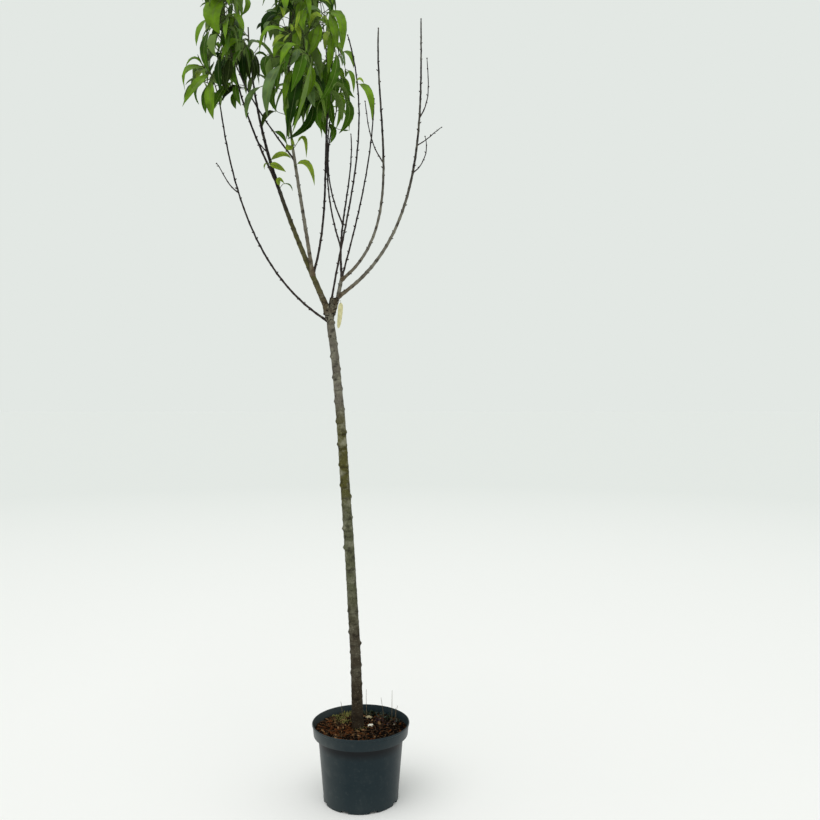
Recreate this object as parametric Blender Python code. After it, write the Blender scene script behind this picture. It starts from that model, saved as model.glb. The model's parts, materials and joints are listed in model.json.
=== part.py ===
"""A young nectarine tree on a bare standard trunk, in a round nursery pot.

Metres, +Z up. The origin is the middle of the pot's flat underside, +X is to the right
and +Y away as one looks at the front. The pot holds the compost, the trunk rises from
the compost to a knob, and every bough springs from the knob or from another bough.
Masses of leaves on twigs sit on the tips of the leafy boughs, and small tufts on their sides.
"""
import math
import random
from typing import NamedTuple

import bmesh
import bpy
from mathutils import Matrix, Vector
from mathutils.bvhtree import BVHTree

UP = Vector((0, 0, 1))
GAP = 0.0003

# Pot: a tapered body, a wider rim band, a thick floor with notches round its edge
POT_HEIGHT = 0.198
POT_BASE_RADIUS = 0.0955
POT_NECK_RADIUS = 0.1085
RIM_BAND_HEIGHT = 0.031
RIM_LOW_RADIUS = 0.1205
RIM_TOP_RADIUS = 0.1245
POT_WALL = 0.0025
POT_FLOOR = 0.006
POT_EDGE = 0.0015
POT_SIDES = 48
NOTCH_COUNT = 8
NOTCH_SIZE = Vector((0.010, 0.018, 0.004))

# Compost: a low heap that starts below the rim
COMPOST_EDGE_HEIGHT = 0.182
COMPOST_TOP_HEIGHT = 0.186
COMPOST_FLAT_RADIUS = 0.040

# Trunk: height above the ground, x, y and diameter of its stations, foot to knob
TRUNK_STATIONS = (
    (COMPOST_TOP_HEIGHT + GAP, -0.007, 0.000, 0.034),
    (0.205, -0.008, 0.000, 0.029),
    (0.370, -0.013, 0.000, 0.0265),
    (0.640, -0.028, 0.000, 0.0250),
    (0.980, -0.050, 0.000, 0.0225),
    (1.135, -0.064, 0.000, 0.0200),
    (1.215, -0.075, 0.000, 0.0205),
    (1.245, -0.078, 0.000, 0.0330),
    (1.266, -0.078, 0.000, 0.0300),
    (1.280, -0.077, 0.000, 0.0140),
)
TRUNK_FORK_HEIGHT = 1.249
KNOB_STATIONS = 4
TRUNK_SIDES = 12
TRUNK_RING_STEP = 0.024
NODE_STEP = 0.056
NODE_RISE = 0.0022
NODE_REACH = 0.011

# Limbs and twigs
PULL = 0.35
TAPER_POWER = 0.8
RING_STEP = 0.045
STOUT_DIAMETER = 0.007
STOUT_SIDES = 8
THIN_SIDES = 6


class Limb(NamedTuple):
    """A tapering limb: where it springs from, where its tip is, and how it leans at each end."""
    parent: str
    along: float
    tip: tuple
    springs: float
    arrives: float
    foot_diameter: float
    tip_diameter: float


LIMBS = {
    "left_bough": Limb("trunk", 0.99, (-0.280, 0.070, 1.850), -24, -8, 0.0160, 0.0045),
    "left_front_bough": Limb("left_bough", 0.55, (-0.305, -0.030, 1.825), -25, -12, 0.0060, 0.0040),
    "grey_bough": Limb("left_bough", 0.16, (-0.160, -0.060, 1.635), -7, -7, 0.0100, 0.0070),
    "cross_bough": Limb("grey_bough", 0.92, (-0.285, -0.120, 1.815), -38, -21, 0.0045, 0.0030),
    "centre_bough": Limb("left_bough", 0.16, (-0.085, 0.050, 1.755), 16, 4, 0.0060, 0.0045),
    "low_left_bough": Limb("trunk", 0.97, (-0.335, -0.060, 1.725), -60, -7, 0.0060, 0.0035),
    "front_bough": Limb("trunk", 0.99, (-0.020, -0.140, 1.880), 9, -17, 0.0055, 0.0030),
    "right_spur": Limb("trunk", 0.99, (-0.045, 0.005, 1.335), 44, 17, 0.0120, 0.0085),
    "right_outer_bough": Limb("right_spur", 0.49, (0.155, 0.120, 2.020), 56, 0, 0.0095, 0.0035),
    "right_inner_bough": Limb("right_spur", 0.90, (0.050, -0.090, 1.915), 54, 3, 0.0080, 0.0035),
    "right_thin_bough": Limb("right_spur", 0.95, (0.035, 0.030, 1.785), 15, 2, 0.0048, 0.0030),
    "rear_bough": Limb("right_spur", 0.97, (-0.030, 0.120, 1.720), -8, -5, 0.0060, 0.0030),
    "rear_low_bough": Limb("rear_bough", 0.20, (-0.085, 0.150, 1.790), -19, 6, 0.0045, 0.0032),
    "rear_high_bough": Limb("rear_bough", 0.36, (-0.080, 0.195, 1.780), -25, 13, 0.0042, 0.0032),
    "low_left_twig": Limb("low_left_bough", 0.68, (-0.355, -0.020, 1.610), -61, -38, 0.0032, 0.0022),
    "left_spur_twig": Limb("left_bough", 0.70, (-0.260, 0.030, 1.675), -81, -56, 0.0032, 0.0026),
    "outer_low_twig": Limb("right_outer_bough", 0.50, (0.165, 0.050, 1.695), 61, -18, 0.0030, 0.0022),
    "outer_rear_twig": Limb("right_outer_bough", 0.59, (0.210, 0.160, 1.750), 53, 45, 0.0030, 0.0022),
    "outer_high_twig": Limb("right_outer_bough", 0.68, (0.170, 0.070, 1.900), 38, -3, 0.0032, 0.0022),
    "inner_twig": Limb("right_inner_bough", 0.53, (0.015, -0.030, 1.760), -37, -7, 0.0032, 0.0022),
}

# Leaves and the twigs that carry them
GOLDEN_ANGLE = math.radians(137.5)
LEAF_TURN = math.radians(144)
LEAF_STEP = 0.018
LEAF_TRIES = 4
LEAF_ASPECT = 0.26
LEAF_THICKNESS = 0.013
LEAF_FOLD = math.radians(20)
LEAF_STATIONS = ((0.32, 1.0), (0.68, 0.80))
LEAF_ROOT_WIDTH = 0.10
LEAF_CLEAR_START = 0.08
LEAF_MARGIN = 0.0005
TWIG_SIDES = 3
TWIG_DIAMETER = 0.0030
TWIG_TIP_DIAMETER = 0.0020
TWIG_CLEAR_START = 0.012

# How they branch: shares of the way along, and ranges of the random turns and sizes
TWIG_FIRST = 0.08
TWIG_SPAN = 0.80
TWIG_TURNS = (-0.35, 0.35)
TWIG_SIZES = (0.8, 1.2)
TWIG_OUT = 0.75
TWIG_AHEAD = 0.65
TWIG_FOOT_PULL = 0.4
TWIG_TIP_PULL = 0.3
LEAVES_ON_TWIG = 0.30
LEAVES_ON_STEM = 0.12
STEM_SEED = 99
LEAF_TURNS = (-0.6, 0.6)
LEAF_SIZES = (0.78, 1.12)
LEAF_TIP_LOSS = 0.35
LEAF_SPREADS = (0.65, 1.2)
LEAF_TWISTS = (-1.0, 1.0)
LEAF_BENDS = (0.7, 1.3)
SPINE_STEPS = 24
SPINE_EASE = 0.6
SPINE_POWER = 0.9
COURSE_STEP = 0.02


class Mass(NamedTuple):
    """A mass of leaves: the bough it sits on, its stem's top, its space, and how it branches."""
    bough: str
    top: tuple
    arrives: float
    centre: tuple
    radii: tuple
    twigs: int
    twig_length: float
    leaf_length: float
    droop: float
    seed: int


MASSES = {
    "leaves_low_left": Mass(
        "low_left_bough", (-0.375, -0.080, 1.860), -25,
        (-0.380, -0.080, 1.790), (0.090, 0.120, 0.120), 3, 0.045, 0.110, 1.3, 5),
    "leaves_left_front": Mass(
        "left_front_bough", (-0.335, -0.020, 2.070), 2,
        (-0.350, -0.030, 1.920), (0.100, 0.110, 0.200), 9, 0.060, 0.135, 2.2, 19),
    "leaves_left_cross": Mass(
        "cross_bough", (-0.345, -0.140, 2.010), -14,
        (-0.335, -0.150, 1.890), (0.095, 0.110, 0.180), 6, 0.050, 0.120, 2.2, 12),
    "leaves_left_rear": Mass(
        "left_bough", (-0.300, 0.120, 2.000), -2,
        (-0.325, 0.120, 1.880), (0.100, 0.120, 0.180), 6, 0.060, 0.125, 2.2, 21),
    "leaves_grey": Mass(
        "grey_bough", (-0.150, -0.060, 2.080), 4,
        (-0.165, -0.060, 1.860), (0.125, 0.130, 0.250), 14, 0.090, 0.150, 2.6, 10),
    "leaves_centre": Mass(
        "centre_bough", (-0.110, 0.060, 2.110), -4,
        (-0.110, 0.040, 1.890), (0.100, 0.110, 0.250), 12, 0.070, 0.145, 2.6, 21),
    "leaves_rear_low": Mass(
        "rear_low_bough", (-0.170, 0.160, 2.060), -6,
        (-0.170, 0.160, 1.870), (0.110, 0.110, 0.230), 8, 0.080, 0.140, 2.4, 10),
    "leaves_rear_high": Mass(
        "rear_high_bough", (-0.080, 0.200, 2.050), 2,
        (-0.095, 0.200, 1.880), (0.090, 0.120, 0.220), 8, 0.070, 0.140, 2.4, 6),
}


class Tuft(NamedTuple):
    """A few young leaves on a stub on a limb's side; the bearing is 0 to the right, -90 to the front."""
    limb: str
    along: float
    bearing: float
    leaves: int
    leaf_length: float
    droop: float
    seed: int


TUFTS = {
    "tuft_left_bough": Tuft("left_bough", 0.53, -20, 3, 0.050, 0.6, 2),
    "tuft_left_front": Tuft("left_front_bough", 0.26, -40, 3, 0.080, 0.7, 4),
    "tuft_cross": Tuft("cross_bough", 0.30, 200, 2, 0.070, 2.0, 6),
    "tuft_grey_side": Tuft("grey_bough", 0.93, -20, 2, 0.095, 1.0, 7),
    "tuft_grey_top": Tuft("grey_bough", 0.985, -50, 3, 0.060, 0.9, 3),
    "tuft_front": Tuft("front_bough", 0.84, -20, 3, 0.115, 2.2, 9),
}
TUFT_STEM = 0.010
TUFT_DIAMETER = 0.0026
TUFT_ROOT = 0.7
TUFT_RISE = 0.7
TUFT_RISES = (-0.2, 0.2)
TUFT_FAN = 2.2
TUFT_SIZES = (0.85, 1.15)
TUFT_BENDS = (0.8, 1.2)
TUFT_TWISTS = (-0.4, 0.4)

# Looks: colour and roughness of each kind of piece
FINISHES = {
    "pot": ((0.020, 0.030, 0.040), 0.55),
    "compost": ((0.060, 0.026, 0.014), 0.95),
    "grey_bark": ((0.110, 0.095, 0.070), 0.80),
    "olive_bark": ((0.085, 0.090, 0.030), 0.70),
    "purple_bark": ((0.035, 0.018, 0.020), 0.55),
    "leaf": ((0.060, 0.160, 0.025), 0.45),
    "young_leaf": ((0.180, 0.330, 0.040), 0.45),
}
OLIVE_LIMBS = ("left_bough",)
GREY_LIMBS = ("grey_bough", "right_spur", "right_outer_bough", "right_inner_bough")
SMOOTH_ANGLE = math.radians(40)


def clear_scene():
    """Start from an empty scene."""
    for thing in list(bpy.data.objects):
        bpy.data.objects.remove(thing, do_unlink=True)


def finish(piece, kind):
    """Give a piece its own Principled material of one of the kinds above."""
    colour, roughness = FINISHES[kind]
    material = bpy.data.materials.new(f"{piece.name}_{kind}")
    material.use_nodes = True
    shader = material.node_tree.nodes["Principled BSDF"]
    shader.inputs["Base Color"].default_value = (*colour, 1.0)
    shader.inputs["Roughness"].default_value = roughness
    shader.inputs["Metallic"].default_value = 0.0
    piece.data.materials.clear()
    piece.data.materials.append(material)


def place(name, mesh):
    """Link a mesh into the scene as a named object, with round faces shaded smooth."""
    piece = bpy.data.objects.new(name, mesh)
    bpy.context.collection.objects.link(piece)
    mesh.shade_smooth()
    mesh.set_sharp_from_angle(angle=SMOOTH_ANGLE)
    return piece


def loft(name, rings):
    """Closed mesh whose skin runs over rings of points; a ring of one point is a tip."""
    shape = bmesh.new()
    loops = [[shape.verts.new(point) for point in ring] for ring in rings]
    for low, high in zip(loops, loops[1:]):
        count = max(len(low), len(high))
        for i in range(count):
            j = (i + 1) % count
            corners = (low[i % len(low)], low[j % len(low)], high[j % len(high)], high[i % len(high)])
            shape.faces.new(dict.fromkeys(corners))
    for end in (loops[0], loops[-1]):
        if len(end) > 2:
            shape.faces.new(end)
    bmesh.ops.recalc_face_normals(shape, faces=shape.faces)
    if shape.calc_volume(signed=True) < 0:
        bmesh.ops.reverse_faces(shape, faces=shape.faces)
    mesh = bpy.data.meshes.new(name)
    shape.to_mesh(mesh)
    shape.free()
    return mesh


def circle(radius, height, sides):
    """Ring of points round the Z axis, or the one point on it where the radius is nil."""
    if radius == 0:
        return [Vector((0, 0, height))]
    turn = math.tau / sides
    return [Vector((radius * math.cos(i * turn), radius * math.sin(i * turn), height)) for i in range(sides)]


def turned(name, profile):
    """Solid turned round the Z axis from a profile of (radius, height) points."""
    return loft(name, [circle(radius, height, POT_SIDES) for radius, height in profile])


def tree_of(mesh):
    """Search tree of a mesh's faces, for overlap tests."""
    shape = bmesh.new()
    shape.from_mesh(mesh)
    found = BVHTree.FromBMesh(shape)
    shape.free()
    return found


def crosses_itself(mesh, tree):
    """Whether two faces of a mesh that share no corner meet."""
    corners = [set(face.vertices) for face in mesh.polygons]
    return any(not corners[a] & corners[b] for a, b in tree.overlap(tree))


def apply_boolean(piece, operation, solver="EXACT", cutter=None, others=None):
    """Cut a piece by a cutter, or join a collection to it, and keep the result as its mesh."""
    step = piece.modifiers.new("Boolean", "BOOLEAN")
    step.operation = operation
    step.solver = solver
    if cutter:
        step.object = cutter
    else:
        step.operand_type = "COLLECTION"
        step.collection = others
    bpy.context.view_layer.update()
    result = piece.evaluated_get(bpy.context.evaluated_depsgraph_get())
    mesh = bpy.data.meshes.new_from_object(result)
    piece.modifiers.clear()
    piece.data = mesh


def cut_with(piece, mesh):
    """Take a shape away from a piece, through a hidden cutter."""
    cutter = bpy.data.objects.new(f"{piece.name}_cutter", mesh)
    bpy.context.collection.objects.link(cutter)
    cutter.hide_render = True
    cutter.display_type = "WIRE"
    apply_boolean(piece, "DIFFERENCE", cutter=cutter)
    bpy.data.objects.remove(cutter, do_unlink=True)


def islands(shape):
    """Groups of a mesh's faces that hang together."""
    waiting = set(shape.faces)
    groups = []
    while waiting:
        group = []
        reached = [waiting.pop()]
        while reached:
            face = reached.pop()
            group.append(face)
            near = {other for edge in face.edges for other in edge.link_faces} & waiting
            waiting -= near
            reached.extend(near)
        groups.append(group)
    return groups


def drop_scraps(piece):
    """Keep only the largest body of a piece."""
    shape = bmesh.new()
    shape.from_mesh(piece.data)
    groups = sorted(islands(shape), key=lambda group: sum(face.calc_area() for face in group))
    for scrap in groups[:-1]:
        bmesh.ops.delete(shape, geom=scrap, context="FACES")
    shape.to_mesh(piece.data)
    shape.free()


# Pot and compost

def pot_wall_radius(height):
    """Outer radius of the pot's tapered body at a height."""
    return POT_BASE_RADIUS + (POT_NECK_RADIUS - POT_BASE_RADIUS) * height / (POT_HEIGHT - RIM_BAND_HEIGHT)


def build_pot():
    """Pot with its rim band, and the notches that drain it cut round the edge of its floor."""
    band = POT_HEIGHT - RIM_BAND_HEIGHT
    profile = (
        (0, 0),
        (POT_BASE_RADIUS - POT_EDGE, 0),
        (POT_BASE_RADIUS, POT_EDGE),
        (POT_NECK_RADIUS, band - 2 * POT_EDGE),
        (RIM_LOW_RADIUS - POT_EDGE, band),
        (RIM_LOW_RADIUS, band + POT_EDGE),
        (RIM_TOP_RADIUS, POT_HEIGHT - POT_EDGE),
        (RIM_TOP_RADIUS - POT_WALL / 2, POT_HEIGHT),
        (RIM_TOP_RADIUS - POT_WALL, POT_HEIGHT - POT_EDGE),
        (RIM_LOW_RADIUS - POT_WALL, band + POT_WALL),
        (POT_NECK_RADIUS - POT_WALL, band),
        (pot_wall_radius(POT_FLOOR) - POT_WALL, POT_FLOOR),
        (0, POT_FLOOR),
    )
    pot = place("pot", turned("pot", profile))
    notches = bmesh.new()
    for i in range(NOTCH_COUNT):
        turn = Matrix.Rotation((i + 0.5) * math.tau / NOTCH_COUNT, 4, "Z")
        spot = Matrix.Translation((POT_BASE_RADIUS, 0, 0)) @ Matrix.Diagonal((*NOTCH_SIZE, 1))
        cube = bmesh.ops.create_cube(notches, size=1, matrix=turn @ spot)
        low = [vert for vert in cube["verts"] if vert.co.z < 0]
        bmesh.ops.translate(notches, verts=low, vec=-UP * NOTCH_SIZE.z)
        bmesh.ops.translate(notches, verts=cube["verts"], vec=UP * NOTCH_SIZE.z / 2)
    mesh = bpy.data.meshes.new("notches")
    notches.to_mesh(mesh)
    notches.free()
    cut_with(pot, mesh)
    finish(pot, "pot")


def build_compost():
    """Compost that fills the pot up to a low heap with a flat top."""
    band = POT_HEIGHT - RIM_BAND_HEIGHT
    inner = POT_WALL + GAP
    rim_slope = (RIM_TOP_RADIUS - RIM_LOW_RADIUS) / (RIM_BAND_HEIGHT - 2 * POT_EDGE)
    edge_radius = RIM_LOW_RADIUS - inner + rim_slope * (COMPOST_EDGE_HEIGHT - band - POT_WALL)
    profile = (
        (0, POT_FLOOR + GAP),
        (pot_wall_radius(POT_FLOOR) - inner, POT_FLOOR + GAP),
        (POT_NECK_RADIUS - inner, band + GAP),
        (RIM_LOW_RADIUS - inner, band + POT_WALL + GAP),
        (edge_radius, COMPOST_EDGE_HEIGHT),
        (COMPOST_FLAT_RADIUS, COMPOST_TOP_HEIGHT),
        (0, COMPOST_TOP_HEIGHT),
    )
    finish(place("compost", turned("compost", profile)), "compost")


# Trunk and limbs

def smooth_step(share):
    """Ease from 0 to 1 with level ends."""
    return share * share * (3 - 2 * share)


def trunk_at(height):
    """Axis point and diameter of the trunk at a height."""
    pairs = list(zip(TRUNK_STATIONS, TRUNK_STATIONS[1:]))
    low, high = next((pair for pair in pairs if height <= pair[1][0]), pairs[-1])
    share = min(1, max(0, (height - low[0]) / (high[0] - low[0])))
    x, y = (low[k] + (high[k] - low[k]) * share for k in (1, 2))
    diameter = low[3] + (high[3] - low[3]) * smooth_step(share)
    return Vector((x, y, height)), diameter


def trunk_rings(extra):
    """Rings up the trunk, with a swelling on one side and then the other at each node."""
    foot = TRUNK_STATIONS[0][0]
    knob = [station[0] for station in TRUNK_STATIONS[-KNOB_STATIONS:]]
    count = round((knob[0] - foot) / TRUNK_RING_STEP)
    heights = [foot + (knob[0] - foot) * i / count for i in range(count)]
    heights += [TRUNK_STATIONS[1][0], *knob]
    rings = []
    for height in sorted(heights):
        centre, diameter = trunk_at(height)
        node = round((height - foot) / NODE_STEP)
        nearness = math.exp(-((height - foot - node * NODE_STEP) / NODE_REACH) ** 2)
        facing = node * GOLDEN_ANGLE
        ring = []
        for i in range(TRUNK_SIDES):
            turn = i * math.tau / TRUNK_SIDES
            bump = NODE_RISE * nearness * max(0, math.cos(turn - facing)) ** 2
            reach = diameter / 2 + bump + extra
            ring.append(centre + Vector((math.cos(turn), math.sin(turn), 0)) * reach)
        rings.append(ring)
    return rings


def bezier(corners, share):
    """Point of a cubic curve."""
    a, b, c, d = corners
    rest = 1 - share
    return a * rest ** 3 + b * 3 * share * rest ** 2 + c * 3 * share ** 2 * rest + d * share ** 3


def course_at(corners, share):
    """Unit vector along a cubic curve at a share of the way."""
    return (bezier(corners, min(1, share + COURSE_STEP)) - bezier(corners, share - COURSE_STEP)).normalized()


def leaning(degrees):
    """Unit vector that leans to the right from the vertical by some degrees."""
    angle = math.radians(degrees)
    return Vector((math.sin(angle), 0, math.cos(angle)))


def limb_corners(name):
    """The four corners of a limb's curve, from its foot on its parent to its tip."""
    limb = LIMBS[name]
    foot = limb_point(limb.parent, limb.along)
    tip = Vector(limb.tip)
    span = tip - foot
    pull = PULL * math.hypot(span.x, span.z)
    third = Vector((0, span.y / 3, 0))
    return foot, foot + leaning(limb.springs) * pull + third, tip - leaning(limb.arrives) * pull - third, tip


def limb_point(name, share):
    """Point on the axis of the trunk or a limb, from 0 at its foot to 1 at its fork or tip."""
    if name == "trunk":
        foot = TRUNK_STATIONS[0][0]
        return trunk_at(foot + (TRUNK_FORK_HEIGHT - foot) * share)[0]
    return bezier(limb_corners(name), share)


def limb_diameter(name, share):
    """Diameter of a limb along its length."""
    limb = LIMBS[name]
    return limb.foot_diameter + (limb.tip_diameter - limb.foot_diameter) * share ** TAPER_POWER


def tube_rings(points, diameters, sides, extra=0.0):
    """Rings of a tube along points, each turned from the last without twist."""
    ahead = (points[1] - points[0]).normalized()
    side = ahead.orthogonal().normalized()
    rings = []
    for i, (point, diameter) in enumerate(zip(points, diameters)):
        before = points[max(i - 1, 0)]
        after = points[min(i + 1, len(points) - 1)]
        turn = ahead.rotation_difference((after - before).normalized())
        side = turn @ side
        ahead = turn @ ahead
        across = ahead.cross(side)
        reach = diameter / 2 + extra
        angles = [k * math.tau / sides for k in range(sides)]
        rings.append([point + (side * math.cos(a) + across * math.sin(a)) * reach for a in angles])
    return rings


def curve_points(corners, step):
    """Points along a cubic curve, about a step apart, and each one's share of the way."""
    count = max(3, math.ceil((corners[3] - corners[0]).length / step))
    shares = [i / count for i in range(count + 1)]
    return [bezier(corners, share) for share in shares], shares


def limb_mesh(name, extra=0.0):
    """Mesh of a limb, or of the space it needs where there is something extra."""
    points, shares = curve_points(limb_corners(name), RING_STEP)
    if extra:
        points.append(points[-1] + (points[-1] - points[-2]).normalized() * extra)
        shares.append(1)
    diameters = [limb_diameter(name, share) for share in shares]
    sides = STOUT_SIDES if LIMBS[name].foot_diameter > STOUT_DIAMETER else THIN_SIDES
    return loft(name, tube_rings(points, diameters, sides, extra))


def bark_of(name):
    """Kind of bark that a limb has."""
    if name in OLIVE_LIMBS:
        return "olive_bark"
    return "grey_bark" if name in GREY_LIMBS else "purple_bark"


def build_wood():
    """Trunk and limbs, each limb cut clear of the ones before it where their feet meet."""
    finish(place("trunk", loft("trunk", trunk_rings(0))), "grey_bark")
    room = {"trunk": loft("trunk_room", trunk_rings(GAP))}
    for name in LIMBS:
        piece = place(name, limb_mesh(name))
        for other, mesh in room.items():
            if tree_of(piece.data).overlap(tree_of(mesh)):
                cut_with(piece, mesh.copy())
        drop_scraps(piece)
        finish(piece, bark_of(name))
        room[name] = limb_mesh(name, GAP)


# Leaves

def leaf_rings(root, ahead, length, droop, twist, start=0.0, margin=0.0):
    """Rings of a folded blade that bends down from its root to its tip.

    With a start above nil the rings begin part of the way along, and a margin makes
    them fatter: that is the room a leaf needs.
    """
    side = ahead.cross(UP).normalized()
    spine = [root.copy()]
    courses = []
    for i in range(SPINE_STEPS):
        share = (i + 0.5) / SPINE_STEPS
        course = (ahead * (1 - SPINE_EASE * share) - UP * droop * share ** SPINE_POWER).normalized()
        courses.append(course)
        spine.append(spine[-1] + course * length / SPINE_STEPS)

    def ring(share, width):
        step = round(share * SPINE_STEPS)
        spot = spine[step]
        course = courses[min(SPINE_STEPS - 1, step)]
        across = Matrix.Rotation(twist, 3, course) @ side
        lift = across.cross(course)
        half = width * length * LEAF_ASPECT / 2
        edge = lift * half * math.sin(LEAF_FOLD)
        reach = across * (half * math.cos(LEAF_FOLD) + margin)
        thick = lift * (length * LEAF_THICKNESS / 2 + margin)
        return [spot + reach + edge, spot + thick, spot - reach + edge, spot - thick]

    rings = [ring(start, LEAF_ROOT_WIDTH)]
    rings += [ring(share, width) for share, width in LEAF_STATIONS]
    rings.append([spine[-1] + courses[-1] * margin])
    return rings


def inside(point, centre, radii):
    """Whether a point lies in an egg-shaped space."""
    return sum(((point[k] - centre[k]) / radii[k]) ** 2 for k in range(3)) <= 1


class Foliage:
    """One mass of twigs and leaves as it grows, kept clear of what stands already."""

    def __init__(self, standing, space):
        self.standing = standing
        self.space = space
        self.parts = []
        self.taken = []

    def fits(self, rings, name):
        """Whether a shape keeps to the space and touches nothing that stands or grew before."""
        if self.space and not all(inside(point, *self.space) for ring in rings for point in ring):
            return False
        mesh = loft(name, rings)
        tree = tree_of(mesh)
        crossed = crosses_itself(mesh, tree)
        bpy.data.meshes.remove(mesh)
        return not crossed and not any(tree.overlap(other) for other in self.standing + self.taken)

    def add(self, name, rings):
        """Keep a shape as part of the mass."""
        mesh = loft(name, rings)
        self.parts.append(mesh)
        self.taken.append(tree_of(mesh))

    def add_twig(self, corners, diameters):
        """Add a twig if there is room for it, and say whether it was added."""
        points, shares = curve_points(corners, RING_STEP)
        sizes = [diameters[0] + (diameters[1] - diameters[0]) * share for share in shares]
        clear = [point for point in points if (point - points[0]).length > TWIG_CLEAR_START]
        room = tube_rings(clear, [size + 2 * LEAF_MARGIN for size in sizes[-len(clear):]], TWIG_SIDES)
        if len(clear) < 2 or not self.fits(room, "twig_room"):
            return False
        self.add("twig", tube_rings(points, sizes, TWIG_SIDES))
        return True

    def add_leaf(self, root, ahead, length, droop, twist):
        """Add a leaf if there is room for it, and say whether it was added."""
        room = leaf_rings(root, ahead, length, droop, twist, LEAF_CLEAR_START, LEAF_MARGIN)
        if not self.fits(room, "leaf_room"):
            return False
        self.add("leaf", leaf_rings(root, ahead, length, droop, twist))
        return True

    def join(self, name, kind):
        """Join the stem with its twigs and leaves into one closed body."""
        piece = place(name, self.parts[0])
        others = bpy.data.collections.new(f"{name}_parts")
        bpy.context.scene.collection.children.link(others)
        for mesh in self.parts[1:]:
            others.objects.link(bpy.data.objects.new("part", mesh))
        apply_boolean(piece, "UNION", "MANIFOLD", others=others)
        for part in list(others.objects):
            bpy.data.objects.remove(part, do_unlink=True)
        bpy.data.collections.remove(others)
        drop_scraps(piece)
        finish(piece, kind)
        return piece


def side_vector(ahead, turn):
    """Unit vector square to a direction, at a turn round it."""
    flat = ahead.orthogonal().normalized()
    return Matrix.Rotation(turn, 3, ahead) @ flat


def leaf_along(foliage, seed, corners, first, length, droop):
    """Deal out leaves along a shoot, each turned on from the one before.

    A leaf that has no room is tried again at other turns before its place stays empty.
    """
    reach = (corners[3] - corners[0]).length
    count = max(2, round(reach * (1 - first) / LEAF_STEP))
    start = random.Random(seed).uniform(0, math.tau)
    for i in range(count):
        rng = random.Random(seed * 100 + i)
        share = first + (1 - first) * (i + 0.5) / count
        size = length * rng.uniform(*LEAF_SIZES) * (1 - LEAF_TIP_LOSS * share ** 3)
        root = bezier(corners, share)
        course = course_at(corners, share)
        for _ in range(LEAF_TRIES):
            spread = rng.uniform(*LEAF_SPREADS)
            twist = rng.uniform(*LEAF_TWISTS)
            bend = droop * rng.uniform(*LEAF_BENDS)
            out = side_vector(course, start + LEAF_TURN * i + rng.uniform(*LEAF_TURNS))
            ahead = (course * math.cos(spread) + out * math.sin(spread)).normalized()
            if foliage.add_leaf(root, ahead, size, bend, twist):
                break


def stem_corners(mass):
    """Curve of a mass's stem, which carries on from its bough's tip."""
    tail = limb_corners(mass.bough)
    course = (tail[3] - tail[2]).normalized()
    foot = tail[3] + course * GAP
    top = Vector(mass.top)
    pull = PULL * (top - foot).length
    return foot, foot + course * pull, top - leaning(mass.arrives) * pull, top


def build_mass(name, standing):
    """Grow a mass of leaves on its bough's tip by its seeded rule."""
    mass = MASSES[name]
    rng = random.Random(mass.seed)
    foliage = Foliage(standing, (mass.centre, mass.radii))
    corners = stem_corners(mass)
    points, shares = curve_points(corners, RING_STEP)
    foot_diameter = LIMBS[mass.bough].tip_diameter
    sizes = [foot_diameter + (TWIG_TIP_DIAMETER - foot_diameter) * share for share in shares]
    foliage.add("stem", tube_rings(points, sizes, THIN_SIDES))
    turn = rng.uniform(0, math.tau)
    for i in range(mass.twigs):
        share = TWIG_FIRST + TWIG_SPAN * i / max(1, mass.twigs - 1)
        turn += GOLDEN_ANGLE + rng.uniform(*TWIG_TURNS)
        reach = mass.twig_length * rng.uniform(*TWIG_SIZES)
        root = bezier(corners, share)
        course = course_at(corners, share)
        out = side_vector(course, turn)
        tip = root + (out * TWIG_OUT + course * TWIG_AHEAD) * reach
        twig = (root, root + out * reach * TWIG_FOOT_PULL, tip - course * reach * TWIG_TIP_PULL, tip)
        if foliage.add_twig(twig, (TWIG_DIAMETER, TWIG_TIP_DIAMETER)):
            leaf_along(foliage, mass.seed * 100 + i, twig, LEAVES_ON_TWIG, mass.leaf_length, mass.droop)
    leaf_along(foliage, mass.seed * 100 + STEM_SEED, corners, LEAVES_ON_STEM, mass.leaf_length, mass.droop)
    return foliage.join(name, "leaf")


def build_tuft(name, standing):
    """Grow a few young leaves on a stub that stands square on a limb's side."""
    tuft = TUFTS[name]
    rng = random.Random(tuft.seed)
    foliage = Foliage(standing, None)
    axis = limb_point(tuft.limb, tuft.along)
    course = (limb_point(tuft.limb, tuft.along + COURSE_STEP) - axis).normalized()
    bearing = math.radians(tuft.bearing)
    out = Vector((math.cos(bearing), math.sin(bearing), 0))
    out = (out - course * out.dot(course)).normalized()
    foot = axis + out * (limb_diameter(tuft.limb, tuft.along) / 2 + GAP)
    tip = foot + out * TUFT_STEM
    foliage.add("stem", tube_rings([foot, tip], [TUFT_DIAMETER] * 2, THIN_SIDES))
    for i in range(tuft.leaves):
        fan = (i + 0.5) / tuft.leaves - 0.5
        rise = TUFT_RISE + rng.uniform(*TUFT_RISES)
        ahead = (out + course * rise + out.cross(course) * fan * TUFT_FAN).normalized()
        size = tuft.leaf_length * rng.uniform(*TUFT_SIZES)
        bend = tuft.droop * rng.uniform(*TUFT_BENDS)
        root = foot + out * TUFT_STEM * TUFT_ROOT
        foliage.add_leaf(root, ahead, size, bend, rng.uniform(*TUFT_TWISTS))
    return foliage.join(name, "young_leaf")


def build_foliage():
    """All tufts and masses, each kept clear of the wood and of the ones before it."""
    standing = [tree_of(thing.data) for thing in bpy.data.objects]
    for name in TUFTS:
        standing.append(tree_of(build_tuft(name, standing).data))
    for name in MASSES:
        standing.append(tree_of(build_mass(name, standing).data))


def main():
    """Build the whole tree in its pot."""
    clear_scene()
    build_pot()
    build_compost()
    build_wood()
    build_foliage()


main()
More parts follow.
